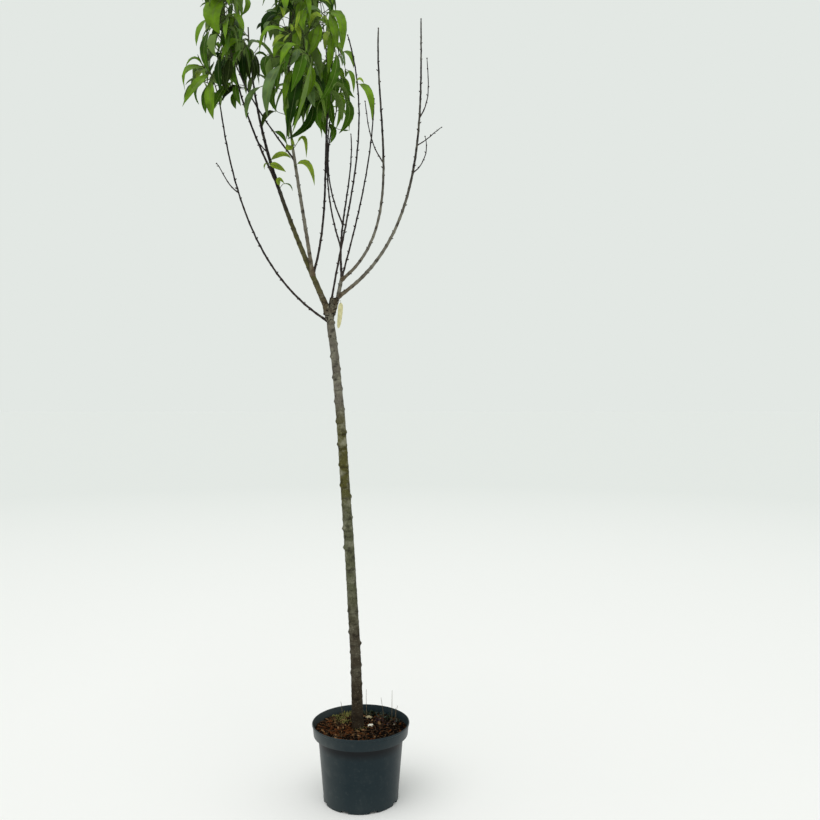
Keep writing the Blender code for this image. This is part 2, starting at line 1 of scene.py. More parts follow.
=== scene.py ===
"""Looks of a young nectarine tree on a bare standard trunk, in a round nursery pot.

Metres, +Z up, +X to the right and +Y away from the camera. The origin is the middle of the
pot's flat underside. The pot, the compost, the trunk and the limbs are modelled again with
their relief, and each mass of leaves grows again by the source's rule, on finer twigs.
"""

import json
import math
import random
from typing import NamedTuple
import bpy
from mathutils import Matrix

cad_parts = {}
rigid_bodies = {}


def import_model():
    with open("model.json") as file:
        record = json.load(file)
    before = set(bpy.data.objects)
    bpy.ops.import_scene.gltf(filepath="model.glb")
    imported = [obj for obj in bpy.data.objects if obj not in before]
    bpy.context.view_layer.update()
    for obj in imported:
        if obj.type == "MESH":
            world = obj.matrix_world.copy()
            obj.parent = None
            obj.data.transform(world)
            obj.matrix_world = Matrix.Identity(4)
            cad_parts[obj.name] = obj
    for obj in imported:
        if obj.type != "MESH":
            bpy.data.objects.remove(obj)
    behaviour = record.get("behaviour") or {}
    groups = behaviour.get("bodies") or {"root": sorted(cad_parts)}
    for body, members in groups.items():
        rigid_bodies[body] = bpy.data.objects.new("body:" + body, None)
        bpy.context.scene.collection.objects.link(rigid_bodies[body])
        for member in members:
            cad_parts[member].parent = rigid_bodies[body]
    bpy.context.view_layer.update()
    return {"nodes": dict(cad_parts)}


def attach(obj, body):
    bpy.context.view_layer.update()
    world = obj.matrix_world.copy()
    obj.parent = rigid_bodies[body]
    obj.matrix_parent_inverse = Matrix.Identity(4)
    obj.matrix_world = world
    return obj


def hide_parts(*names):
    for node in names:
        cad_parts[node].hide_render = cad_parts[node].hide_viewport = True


bl_info = {
    "name": "Potted Nectarine Tree",
    "version": (1, 0, 0),
    "blender": (4, 5, 0),
    "location": "View3D > Sidebar > Nectarine Tree",
    "description": "Dresses the packed model of a young nectarine tree in its pot",
    "category": "Add Mesh",
}

import bpy
import numpy as np
from mathutils import Matrix, Vector, noise
from mathutils.bvhtree import BVHTree

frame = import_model()
UP = Vector((0, 0, 1))
GAP = 0.0003

# Pot
POT_HEIGHT = 0.198
POT_BASE_RADIUS = 0.0955
POT_NECK_RADIUS = 0.1085
RIM_BAND_HEIGHT = 0.031
RIM_LOW_RADIUS = 0.1205
RIM_TOP_RADIUS = 0.1245
POT_WALL = 0.0025
POT_FLOOR = 0.0085
POT_HOLLOW = 0.0065
FOOT_WIDTH = 0.0040
POT_EDGE = 0.0015
POT_SIDES = 128
NOTCH_COUNT = 8
NOTCH_SIZE = Vector((0.018, 0.021, 0.0126))
LIP_DROP = 0.0060
SKIRT_HOLLOW = 0.0085

# Compost
COMPOST_EDGE_HEIGHT = 0.182
COMPOST_TOP_HEIGHT = 0.186
COMPOST_FLAT_RADIUS = 0.040
COMPOST_EDGE_RADIUS = 0.119
COMPOST_SINK = 0.0035
LITTER_SEED = 31
CHIP_REACH = 0.1185
FIBRE_REACH = 0.108
WEED_REACH = 0.114
FOOT_PLACE = (-0.007, 0)
FOOT_CLEAR = 0.017

# Trunk: height above the ground, x, y and diameter of its stations, foot to knob
TRUNK_STATIONS = (
    (COMPOST_TOP_HEIGHT + GAP, -0.007, 0.000, 0.034),
    (0.205, -0.008, 0.000, 0.029),
    (0.370, -0.013, 0.000, 0.0265),
    (0.640, -0.028, 0.000, 0.0250),
    (0.980, -0.050, 0.000, 0.0225),
    (1.135, -0.064, 0.000, 0.0200),
    (1.215, -0.075, 0.000, 0.0205),
    (1.245, -0.078, 0.000, 0.0330),
    (1.266, -0.078, 0.000, 0.0300),
    (1.280, -0.077, 0.000, 0.0140),
)
TRUNK_FORK_HEIGHT = 1.249
TRUNK_SIDES = 40
TRUNK_RING_STEP = 0.003
BARK_FOOT, BARK_TOP = 0.178, 1.262
NODE_STEP = 0.054
LAST_NODE = 1.215
NODE_SEED = 8
PORE_SEED = 77
PORES = 230
GOLDEN_ANGLE = math.radians(137.5)
PULL = 0.35
TAPER_POWER = 0.8
COURSE_STEP = 0.02


class Limb(NamedTuple):
    """A tapering limb: where it springs from, where its tip is, and how it leans at each end."""
    parent: str
    along: float
    tip: tuple
    springs: float
    arrives: float
    foot_diameter: float
    tip_diameter: float


LIMBS = {
    "left_bough": Limb("trunk", 0.99, (-0.280, 0.070, 1.850), -24, -8, 0.0160, 0.0045),
    "left_front_bough": Limb("left_bough", 0.55, (-0.305, -0.030, 1.825), -25, -12, 0.0060, 0.0040),
    "grey_bough": Limb("left_bough", 0.16, (-0.160, -0.060, 1.635), -7, -7, 0.0100, 0.0070),
    "cross_bough": Limb("grey_bough", 0.92, (-0.285, -0.120, 1.815), -38, -21, 0.0045, 0.0030),
    "centre_bough": Limb("left_bough", 0.16, (-0.085, 0.050, 1.755), 16, 4, 0.0060, 0.0045),
    "low_left_bough": Limb("trunk", 0.97, (-0.335, -0.060, 1.725), -60, -7, 0.0060, 0.0035),
    "front_bough": Limb("trunk", 0.99, (-0.020, -0.140, 1.880), 9, -17, 0.0055, 0.0030),
    "right_spur": Limb("trunk", 0.99, (-0.045, 0.005, 1.335), 44, 17, 0.0120, 0.0085),
    "right_outer_bough": Limb("right_spur", 0.49, (0.155, 0.120, 2.020), 56, 0, 0.0095, 0.0035),
    "right_inner_bough": Limb("right_spur", 0.90, (0.050, -0.090, 1.915), 54, 3, 0.0080, 0.0035),
    "right_thin_bough": Limb("right_spur", 0.95, (0.035, 0.030, 1.785), 15, 2, 0.0048, 0.0030),
    "rear_bough": Limb("right_spur", 0.97, (-0.030, 0.120, 1.720), -8, -5, 0.0060, 0.0030),
    "rear_low_bough": Limb("rear_bough", 0.20, (-0.085, 0.150, 1.790), -19, 6, 0.0045, 0.0032),
    "rear_high_bough": Limb("rear_bough", 0.36, (-0.080, 0.195, 1.780), -25, 13, 0.0042, 0.0032),
    "low_left_twig": Limb("low_left_bough", 0.68, (-0.355, -0.020, 1.610), -61, -38, 0.0032, 0.0022),
    "left_spur_twig": Limb("left_bough", 0.70, (-0.260, 0.030, 1.675), -81, -56, 0.0032, 0.0026),
    "outer_low_twig": Limb("right_outer_bough", 0.50, (0.165, 0.050, 1.695), 61, -18, 0.0030, 0.0022),
    "outer_rear_twig": Limb("right_outer_bough", 0.59, (0.210, 0.160, 1.750), 53, 45, 0.0030, 0.0022),
    "outer_high_twig": Limb("right_outer_bough", 0.68, (0.170, 0.070, 1.900), 38, -3, 0.0032, 0.0022),
    "inner_twig": Limb("right_inner_bough", 0.53, (0.015, -0.030, 1.760), -37, -7, 0.0032, 0.0022),
}
OLIVE_LIMBS = ("left_bough",)
GREY_LIMBS = ("grey_bough", "right_spur", "right_outer_bough", "right_inner_bough")
LEAFY_LIMBS = (
    "left_bough", "left_front_bough", "grey_bough", "cross_bough", "centre_bough",
    "low_left_bough", "rear_low_bough", "rear_high_bough",
)
# Limbs that stay old up to their tips
LIMB_AGES = {"grey_bough": 0.32, "right_spur": 0.25}
LIMB_RING_STEP = 0.005
STOUT_DIAMETER = 0.007
BUD_STEPS = (0.017, 0.025)
BUD_TURN = math.radians(144)

# Leaves and twigs
LEAF_TURN = math.radians(144)
LEAF_STEP = 0.018
LEAF_TRIES = 4
LEAF_ASPECT = 0.26
LEAF_CLEAR_START = 0.08
LEAF_MARGIN = 0.0003
TWIG_DIAMETER = 0.0028
TWIG_TIP_DIAMETER = 0.0016
SPINE_STEPS = 24
FINE_SHOOTS = 24
FINE_TRIES = 10
# Stems that end in an old cut, with the diameter there
CUT_STEMS = {"leaves_left_rear": 0.0040}


class Mass(NamedTuple):
    """A mass of leaves: the bough it sits on, its stem's top, its space, and how it branches."""
    bough: str
    top: tuple
    arrives: float
    centre: tuple
    radii: tuple
    twigs: int
    twig_length: float
    leaf_length: float
    droop: float
    seed: int


MASSES = {
    "leaves_low_left": Mass(
        "low_left_bough", (-0.375, -0.080, 1.860), -25,
        (-0.380, -0.080, 1.790), (0.090, 0.120, 0.120), 3, 0.045, 0.110, 1.3, 5),
    "leaves_left_front": Mass(
        "left_front_bough", (-0.335, -0.020, 2.070), 2,
        (-0.350, -0.030, 1.920), (0.100, 0.110, 0.200), 9, 0.060, 0.135, 2.2, 19),
    "leaves_left_cross": Mass(
        "cross_bough", (-0.345, -0.140, 2.010), -14,
        (-0.335, -0.150, 1.890), (0.095, 0.110, 0.180), 6, 0.050, 0.120, 2.2, 12),
    "leaves_left_rear": Mass(
        "left_bough", (-0.300, 0.120, 2.000), -2,
        (-0.325, 0.120, 1.880), (0.100, 0.120, 0.180), 6, 0.060, 0.125, 2.2, 21),
    "leaves_grey": Mass(
        "grey_bough", (-0.150, -0.060, 2.080), 4,
        (-0.165, -0.060, 1.860), (0.125, 0.130, 0.250), 14, 0.090, 0.150, 2.6, 10),
    "leaves_centre": Mass(
        "centre_bough", (-0.110, 0.060, 2.110), -4,
        (-0.110, 0.040, 1.890), (0.100, 0.110, 0.250), 12, 0.070, 0.145, 2.6, 21),
    "leaves_rear_low": Mass(
        "rear_low_bough", (-0.170, 0.160, 2.060), -6,
        (-0.170, 0.160, 1.870), (0.110, 0.110, 0.230), 8, 0.080, 0.140, 2.4, 10),
    "leaves_rear_high": Mass(
        "rear_high_bough", (-0.080, 0.200, 2.050), 2,
        (-0.095, 0.200, 1.880), (0.090, 0.120, 0.220), 8, 0.070, 0.140, 2.4, 6),
}


class Tuft(NamedTuple):
    """A few young leaves on a limb's side, and how far along it they grow."""
    limb: str
    along: float
    seed: int


TUFTS = {
    "tuft_left_bough": Tuft("left_bough", 0.53, 2),
    "tuft_left_front": Tuft("left_front_bough", 0.26, 4),
    "tuft_cross": Tuft("cross_bough", 0.30, 6),
    "tuft_grey_side": Tuft("grey_bough", 0.93, 7),
    "tuft_grey_top": Tuft("grey_bough", 0.985, 3),
    "tuft_front": Tuft("front_bough", 0.84, 9),
}
# How far from its place on the limb a tuft may spring, and its share of each tone
TUFT_REACH = 0.12
TUFT_TONES = (0.0, 0.3, 0.5, 0.2, 0.0, 0.0)

# Leaf tones with their sheen, and each mass's share of each tone. The darker shares at the rear and the
# brighter ones at the front left are partly the leaves' own tones and partly painted shade and light
TONES = ("deep", "mid", "fresh", "young", "bronze", "dull")
TONE_SHEENS = (0.05, 0.07, 0.14, 0.16, 0.05, 0.26)
MASS_TONES = {
    "leaves_low_left": (0.05, 0.35, 0.45, 0.05, 0.00, 0.10),
    "leaves_left_front": (0.20, 0.40, 0.20, 0.02, 0.08, 0.10),
    "leaves_left_cross": (0.15, 0.40, 0.30, 0.05, 0.00, 0.10),
    "leaves_left_rear": (0.35, 0.35, 0.10, 0.00, 0.15, 0.05),
    "leaves_grey": (0.22, 0.45, 0.18, 0.02, 0.04, 0.09),
    "leaves_centre": (0.24, 0.45, 0.18, 0.02, 0.04, 0.07),
    "leaves_rear_low": (0.32, 0.45, 0.12, 0.00, 0.06, 0.05),
    "leaves_rear_high": (0.32, 0.45, 0.12, 0.00, 0.06, 0.05),
}
# Towards the top of the crown the tones go over to these paler ones, between two heights, as painted light
# from above
TOP_TONES = (0.06, 0.26, 0.42, 0.14, 0.02, 0.10)
TOP_TONE_HEIGHTS = (1.79, 1.90)

# The camera, and what it shows of the crown in steps of the photograph's 820 by 820 frame
CAMERA_PLACE = Vector((0.126, -2.295, 1.069))
CAMERA_DIP = math.radians(1.82)
PICTURE_SIZE = 820
PICTURE_MIDDLE = PICTURE_SIZE / 2
PICTURE_FOCUS = 906
SENSOR_WIDTH = 36


class SeenLeaf(NamedTuple):
    """A leaf that the photograph shows. Root, bend and tip are places in its frame, and so is the
    width. Depth and bow, how far it comes forward, are metres. The turn is 0 where the upper side
    faces the camera and 90 where it faces up or outwards to the left."""
    root: tuple
    bend: tuple
    tip: tuple
    depth: float
    bow: float
    width: float
    turn: float
    tone: str


# The leaves that the photograph shows, by mass or tuft, each with the fields of a SeenLeaf
SEEN_LEAVES = {
    "leaves_left_front": (
        ((212, 5), (206, 3.5), (200, 7), -0.08, 0.01, 3, 60, "fresh"),
        ((225, -1), (213, 12), (220, 34), -0.15, 0.035, 20, 8, "fresh"),
        ((227, -7), (229, -2), (232, 4), -0.07, 0.02, 6, -20, "fresh"),
        ((237, 13), (239, 30), (237, 52), -0.10, 0.02, 10, -15, "dull"),
        ((236, 20), (236, 42), (233, 61), -0.08, 0.015, 10, 20, "mid"),
        ((240, 36), (238, 48), (239, 61), -0.13, 0.012, 6, 165, "fresh"),
        ((225, 29), (227, 41), (230, 54), -0.10, 0.02, 12, 10, "mid"),
        ((218, 27), (224, 31), (231, 40), -0.06, 0.02, 7, -40, "deep"),
        ((242.5, -7), (247.5, 4), (241.5, 15.5), -0.06, 0.02, 5, -40, "fresh"),
        ((239, -8), (236, 3), (235, 13), -0.06, 0.015, 4, 60, "young"),
        ((231, 3), (231, 10), (229, 20), -0.05, 0.015, 6, 30, "mid"),
    ),
    "leaves_left_cross": (
        ((208, 18), (200, 30), (196.5, 46), -0.15, 0.02, 7.5, 25, "fresh"),
        ((219, 33), (211, 42), (216.5, 57), -0.19, 0.02, 8, 170, "fresh"),
        ((211, 28), (204, 50), (210, 73), -0.13, 0.025, 8, 20, "mid"),
        ((222, 22), (217, 32), (212, 44), -0.14, 0.02, 9, 20, "mid"),
        ((219, 56), (218.5, 74), (221, 90), -0.14, 0.015, 8, 10, "deep"),
        ((229, 57), (229, 70), (226, 85), -0.12, 0.015, 9, -10, "bronze"),
        ((224, 57), (222, 66), (214, 74), -0.13, 0.015, 7, 30, "deep"),
        ((226, 62), (223, 77), (229, 92), -0.12, 0.015, 8, 0, "bronze"),
        ((236, 62), (233, 74), (238, 86), -0.11, 0.015, 7, 5, "mid"),
        ((236, 84), (236, 94), (241, 106), -0.10, 0.012, 7, -5, "mid"),
    ),
    "leaves_low_left": (
        ((203.5, 67), (194, 58.5), (185, 68.5), -0.11, 0.012, 3.5, 60, "fresh"),
        ((203.5, 66.5), (187, 70), (185, 90.5), -0.11, 0.025, 6, 40, "fresh"),
        ((203, 65), (199.5, 60), (197.5, 54), -0.11, 0.005, 1.6, 60, "dull"),
        ((211, 73.5), (196, 85), (182.5, 106.5), -0.13, 0.03, 9, 15, "fresh"),
        ((211.5, 78.5), (197.5, 88), (199, 104.5), -0.10, 0.015, 4.5, 60, "mid"),
        ((203.5, 69), (199, 73), (197, 79), -0.10, 0.01, 7, 30, "young"),
        ((212, 79), (210, 98), (213.5, 119.5), -0.13, 0.02, 11, 5, "fresh"),
        ((210, 82), (205, 98), (206, 113.5), -0.10, 0.015, 7, 25, "mid"),
        ((226, 85), (219, 96), (213, 109), -0.10, 0.015, 8, 15, "mid"),
        ((245, 88), (232, 90), (222, 101), -0.07, 0.015, 8, 50, "bronze"),
        ((238, 89), (234, 99), (236, 109), -0.08, 0.015, 7, 10, "mid"),
        ((232, 82), (225, 88), (219, 100), -0.09, 0.012, 8, 20, "fresh"),
        ((214, 62), (212, 68), (208, 76), -0.09, 0.01, 4, 30, "mid"),
    ),
    "leaves_left_rear": (
        ((244, 44), (242.5, 64), (246, 85), 0.04, 0.03, 9, 10, "deep"),
        ((250, 46), (248, 61), (250, 81), 0.05, 0.02, 9, 10, "bronze"),
        ((255, 52), (257, 66), (259.5, 77), 0.08, 0.015, 5, -20, "bronze"),
        ((251, 56), (254.5, 69), (254.5, 80), 0.07, 0.015, 5, -20, "bronze"),
        ((259.5, 43), (252, 42), (248, 52), 0.09, 0.02, 5, 50, "dull"),
        ((247, 47), (243, 52), (240, 70), 0.06, 0.01, 6, 30, "deep"),
    ),
    "leaves_grey": (
        ((297.5, 4.5), (284, 0), (271.5, 7.5), -0.10, 0.02, 3.5, 60, "mid"),
        ((279, 14), (272, 11), (265, 12), -0.08, 0.015, 4, 50, "dull"),
        ((294, 14), (286, 6), (276, 15), -0.07, 0.02, 9, 40, "deep"),
        ((281, 15), (268, 19), (262.5, 41), -0.06, 0.02, 11, 20, "deep"),
        ((271, 21), (266, 26), (267, 33), -0.10, 0.01, 5, 15, "dull"),
        ((267, 24), (261, 25), (256.5, 29.5), -0.06, 0.01, 4.5, 40, "deep"),
        ((290, 34), (268, 30), (259.5, 55), -0.14, 0.03, 7, 35, "fresh"),
        ((291, 32), (292, 28), (290, 24), -0.14, 0.006, 3, 30, "young"),
        ((291, 33), (286, 38), (283, 43), -0.15, 0.01, 2.2, 30, "young"),
        ((303, 54), (295, 92), (286.5, 139), -0.13, 0.03, 13, 10, "deep"),
        ((303, 52), (300, 68), (291, 92), -0.15, 0.025, 12, 20, "mid"),
        ((312, 57), (305, 93), (292, 134), -0.16, 0.02, 4, 140, "fresh"),
        ((284, 62), (269, 85), (267.5, 117), -0.15, 0.03, 11, 20, "dull"),
        ((298, 45), (288, 48), (280, 66), -0.17, 0.025, 11, 25, "fresh"),
        ((297, 48), (296, 57), (289, 66), -0.15, 0.02, 8, 10, "dull"),
        ((288, 44), (279, 47), (274, 58), -0.12, 0.02, 9, 40, "fresh"),
        ((304, 1), (300, 8), (296, 19), -0.10, 0.015, 8, 10, "fresh"),
        ((300, 9), (298, 19), (295, 31), -0.13, 0.008, 4, 10, "young"),
        ((307, 8), (302, 18), (304, 31), -0.11, 0.015, 9, 5, "fresh"),
        ((285, 58), (279, 72), (277, 94), -0.11, 0.02, 9, 10, "mid"),
        ((293, 68), (287, 84), (284, 106), -0.11, 0.02, 8, 15, "fresh"),
        ((286, 36), (279, 38), (272, 47), -0.11, 0.012, 7, 30, "young"),
        ((268, 54), (265, 66), (270, 82.5), -0.09, 0.02, 9, 20, "mid"),
        ((271, 57), (269, 68), (268, 80), -0.12, 0.02, 6, 150, "fresh"),
        ((263, 86), (250, 97), (246.5, 119), -0.10, 0.03, 7, 40, "dull"),
        ((276, 111), (267, 116), (262.5, 127), -0.08, 0.015, 7, 40, "bronze"),
        ((303, 100), (300, 112), (292, 127), -0.10, 0.015, 9, 20, "mid"),
        ((276, 82), (272, 96), (277, 112), -0.07, 0.02, 8, 10, "mid"),
    ),
    "leaves_centre": (
        ((312, 3), (323, 1), (331, 11), -0.02, 0.02, 8, -35, "mid"),
        ((320, 0), (326, 0.5), (330.5, 5), -0.04, 0.01, 3, -40, "young"),
        ((324, 15), (310, 10), (301, 25), -0.06, 0.02, 8, 40, "dull"),
        ((325, 20), (315, 15.5), (309, 29), -0.09, 0.015, 6.5, 30, "young"),
        ((326, 13), (341, 20), (341.5, 54), -0.06, 0.03, 10, -15, "fresh"),
        ((331, 27), (331, 50), (328, 75), -0.05, 0.015, 8, 10, "fresh"),
        ((319, 21), (317, 38), (308, 56), -0.07, 0.02, 9, 10, "fresh"),
        ((336, 50), (334, 77), (318, 104), -0.05, 0.025, 9, -10, "mid"),
        ((311, 100), (310, 122), (287.5, 139), -0.07, 0.025, 10, 10, "deep"),
        ((311, 78), (310, 93), (315, 107), -0.08, 0.02, 10, -10, "dull"),
        ((322, 98), (317, 112), (321, 130), -0.05, 0.02, 10, -10, "mid"),
        ((306, 60), (300, 76), (303, 98), -0.10, 0.02, 9, 20, "mid"),
        ((301, 28), (297, 40), (299, 54), -0.10, 0.02, 9, 20, "fresh"),
        ((313, 55), (319, 70), (318, 84), -0.03, 0.015, 8, -20, "dull"),
        ((329, 12), (334, 28), (337, 49), -0.065, 0.02, 9, -10, "fresh"),
        ((326, 60), (327, 78), (322, 99), -0.04, 0.02, 9, 10, "mid"),
        ((307, 62), (312, 78), (307, 97), -0.08, 0.02, 9, 0, "fresh"),
        ((324, 84), (327, 98), (325, 119), -0.04, 0.02, 8, -5, "mid"),
        ((301, 76), (298, 92), (301, 113), -0.10, 0.015, 9, 15, "mid"),
        ((316, 26), (312, 38), (314, 50), -0.06, 0.015, 8, 0, "fresh"),
    ),
    "leaves_rear_low": (
        ((333, 92), (341, 103), (336, 129), 0.08, 0.02, 8, -20, "fresh"),
        ((344.5, 96), (349.5, 115), (339, 133.5), 0.06, 0.02, 9, -15, "mid"),
        ((328, 123), (333.5, 132), (330, 143.5), 0.08, 0.015, 6.5, -10, "mid"),
        ((341, 129.5), (345, 131), (349, 130), 0.06, 0.005, 2.2, -60, "mid"),
        ((342.5, 75), (344.5, 87), (355, 98), 0.08, 0.015, 7, -20, "mid"),
        ((336, 85.5), (341, 85), (343.8, 94), 0.08, 0.01, 3, -40, "deep"),
        ((335, 68), (340, 72), (344, 80), 0.09, 0.01, 7, -20, "fresh"),
        ((339, 54), (341.5, 60), (342, 66), 0.08, 0.008, 3, -50, "dull"),
        ((330, 98), (331, 112), (334, 128), 0.07, 0.015, 7, -10, "mid"),
        ((335, 72), (336, 86), (332, 104), 0.07, 0.02, 8, -5, "mid"),
        ((325, 104), (323, 119), (327, 137), 0.08, 0.015, 8, 5, "mid"),
        ((343, 76), (347, 86), (349, 98), 0.09, 0.012, 6, -10, "fresh"),
    ),
    "leaves_rear_high": (
        ((342, 52), (350, 55), (353.5, 68), 0.12, 0.015, 6, -30, "fresh"),
        ((347, 70), (352, 77), (353.5, 93), 0.12, 0.01, 5, -30, "fresh"),
    ),
    "tuft_left_bough": (
        ((280, 188), (279, 180), (284.5, 183.5), 0.03, 0.006, 5.5, -20, "young"),
        ((283, 184), (289, 185), (292.5, 191), 0.028, 0.006, 2, -60, "dull"),
    ),
    "tuft_left_front": (
        ((269, 162), (281, 154), (291, 158.5), 0.015, 0.01, 5.5, 15, "young"),
        ((268.5, 164.5), (277, 166), (286, 172), 0.015, 0.015, 6.5, 10, "young"),
        ((268, 163), (265, 165), (264.5, 169.5), 0.015, 0.005, 2, 40, "young"),
    ),
    "tuft_cross": (
        ((273.5, 131.5), (281, 135), (287, 145), -0.08, 0.01, 5, -30, "mid"),
    ),
    "tuft_grey_side": (
        ((295, 165.5), (308, 164.5), (314.5, 185.5), -0.062, 0.02, 6.5, -10, "young"),
    ),
    "tuft_grey_top": (
        ((296, 145), (304, 138.5), (306.3, 157.5), -0.07, 0.012, 4.5, -30, "young"),
        ((294.5, 144), (289, 148), (287, 143.5), -0.07, 0.012, 6, 20, "young"),
        ((294.5, 146), (292.5, 142), (293, 138.5), -0.07, 0.006, 3, 20, "young"),
    ),
    "tuft_front": (
        ((357, 84), (368.5, 93), (372, 120), -0.12, 0.02, 8, -25, "fresh"),
        ((356, 82), (360, 79), (364, 84), -0.12, 0.008, 3, -40, "young"),
    ),
}

# Outline that the grown leaves keep to in the photograph's frame. Its top is free
CROWN_OUTLINE = (
    (170, -80), (430, -80), (365, -22), (334, 0), (341, 20), (344, 54), (351, 63), (352, 97),
    (350, 131), (336, 145), (324, 145), (315, 132), (306, 130), (290, 141), (283, 139),
    (276, 115), (270, 128), (262, 128), (266, 108), (261, 90), (252, 118), (245, 121),
    (242, 107), (236, 111), (223, 104), (216, 120), (205, 114), (204, 86), (198, 84),
    (184, 106), (182, 72), (192, 60), (203, 58), (198, 48), (201, 28), (206, 10), (196, -15),
)
# Places where the photograph shows sky between the leaves: across, down and radius
SKY_PLACES = (
    (255, -8, 5), (255, 3, 7), (255, 13, 6.5), (254, 21, 5.5), (257, 29, 4), (257, 37, 3),
    (232, 11, 2), (222, 36, 1.5), (220, 50, 1.5), (213.5, 64, 2.5), (213, 70, 2.5), (206, 38, 2.5),
    (246, 42, 1.5), (256, 49, 2), (261, 60, 2.5), (262.5, 70, 3), (250.5, 76, 1.5), (256, 88, 3.5),
    (235, 78, 1.5), (228, 91, 2.5), (224, 82, 1.5), (216, 88, 1.2), (241, 100, 5), (229, 104, 4),
    (287, 17, 1.8), (281.5, 25, 1.5), (303, 13.5, 1.4), (311, 33.5, 1.8), (320.3, 26, 1.2),
    (326, 30, 1.6), (321, 50, 3), (322.5, 57, 2.5), (328, 70, 2), (289.7, 66, 1.6), (285, 73, 1),
    (274, 76, 1.5), (269, 51, 1.5), (260, 58, 2.5), (277, 103, 1.6), (281, 106, 1.6),
    (314, 109, 2.2), (313.5, 121, 2), (282.5, 116, 3), (279, 124, 5), (282.5, 129, 3.5),
    (338.5, 60, 2.2), (340.5, 66, 1.8), (350.5, 78, 1.2), (351.5, 89, 2), (339.5, 82.5, 1.2),
    (338, 92, 2), (336, 115, 1.5), (248.5, 29, 1.6), (248.5, 34, 1.6), (249, 39, 1.6),
    (245, 20, 2.5), (246.5, 12, 2), (202, 14, 3), (340, 5, 3.5), (345, 14, 3),
)


def shade(red, green, blue):
    """Linear colour of a shade given in steps of 255."""
    return tuple(
        ((v / 255 + 0.055) / 1.055) ** 2.4 if v > 10 else v / 255 / 12.92 for v in (red, green, blue))


# Helpers for modelling

def deselect():
    """Leave nothing selected, in object mode."""
    if bpy.context.object and bpy.context.object.mode != "OBJECT":
        bpy.ops.object.mode_set(mode="OBJECT")
    bpy.ops.object.select_all(action="DESELECT")


def choose(piece):
    """Make a piece the only one selected, and the active one."""
    deselect()
    piece.select_set(True)
    bpy.context.view_layer.objects.active = piece


def settle(name):
    """Name the new active object and put its place into its mesh."""
    piece = bpy.context.object
    piece.name = name
    piece.data.name = name
    bpy.ops.object.transform_apply(location=True, rotation=True, scale=True)
    return piece


def dress(piece, slot, *nodes):
    """Let a piece ride on the tree and stand for its nodes; its slot is not used."""
    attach(piece, "root")
    if nodes:
        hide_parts(*nodes)
    return piece


def coat(piece, *materials):
    """Give a piece its materials, in the order of its face numbers."""
    for material in materials:
        piece.data.materials.append(material)


def points_of(piece):
    """Corner points of a piece's mesh, one row each."""
    points = np.empty(len(piece.data.vertices) * 3, np.float32)
    piece.data.vertices.foreach_get("co", points)
    return points.reshape(-1, 3).astype(float)


def move_points(piece, points):
    """Put a mesh's corners where the rows of an array say."""
    piece.data.vertices.foreach_set("co", np.asarray(points, np.float32).ravel())
    piece.data.update()


def paint(piece, name, values):
    """Keep one number for each corner, for a material to read."""
    layer = piece.data.attributes.new(name, "FLOAT", "POINT")
    layer.data.foreach_set("value", np.asarray(values, np.float32))


def smooth(piece, degrees=40):
    """Shade a piece smooth, with sharp edges where it turns by more."""
    choose(piece)
    bpy.ops.object.shade_smooth_by_angle(angle=math.radians(degrees))


def mend(piece, merge=1e-6):
    """Merge doubles and turn every face outwards."""
    choose(piece)
    bpy.ops.object.mode_set(mode="EDIT")
    bpy.ops.mesh.select_all(action="SELECT")
    bpy.ops.mesh.remove_doubles(threshold=merge)
    bpy.ops.mesh.normals_make_consistent(inside=False)
    bpy.ops.object.mode_set(mode="OBJECT")


def apply_all(piece):
    """Apply every modifier of a piece."""
    choose(piece)
    for step in list(piece.modifiers):
        bpy.ops.object.modifier_apply(modifier=step.name)


def roughen(piece, strength, size, depth=2):
    """Displace a piece along its normals by soft noise."""
    grain = bpy.data.textures.new(f"{piece.name}_grain", "CLOUDS")
    grain.noise_scale = size
    grain.noise_depth = depth
    step = piece.modifiers.new("Relief", "DISPLACE")
    step.texture = grain
    step.texture_coords = "LOCAL"
    step.strength = strength
    step.mid_level = 0.5
    apply_all(piece)


def turned(name, profile, sides):
    """Piece turned round the upright axis from a profile of (radius, height) points."""
    deselect()
    line = bpy.data.meshes.new(name)
    corners = [(radius, 0, height) for radius, height in profile]
    line.from_pydata(corners, [(i, i + 1) for i in range(len(corners) - 1)], [])
    piece = bpy.data.objects.new(name, line)
    bpy.context.collection.objects.link(piece)
    choose(piece)
    bpy.ops.object.mode_set(mode="EDIT")
    bpy.ops.mesh.select_all(action="SELECT")
    bpy.ops.mesh.spin(steps=sides, angle=math.tau, center=(0, 0, 0), axis=(0, 0, 1))
    bpy.ops.object.mode_set(mode="OBJECT")
    mend(piece, 1e-5)
    return piece


def ringed_tube(name, sides, rings):
    """Upright unit tube, closed at both ends, whose level rings are ready to be shaped."""
    deselect()
    bpy.ops.mesh.primitive_cylinder_add(vertices=sides, radius=1, depth=1, location=(0, 0, 0.5))
    piece = settle(name)
    points = points_of(piece)
    bpy.ops.object.mode_set(mode="EDIT")
    bpy.ops.mesh.select_mode(type="EDGE")
    bpy.ops.mesh.select_all(action="DESELECT")
    bpy.ops.object.mode_set(mode="OBJECT")
    for face in piece.data.polygons:
        face.select = False
    for edge in piece.data.edges:
        low, high = edge.vertices
        edge.select = abs(points[low][2] - points[high][2]) > 0.5
    bpy.ops.object.mode_set(mode="EDIT")
    bpy.ops.mesh.subdivide_edgering(number_cuts=rings - 2, interpolation="LINEAR", smoothness=0)
    bpy.ops.object.mode_set(mode="OBJECT")
    return piece


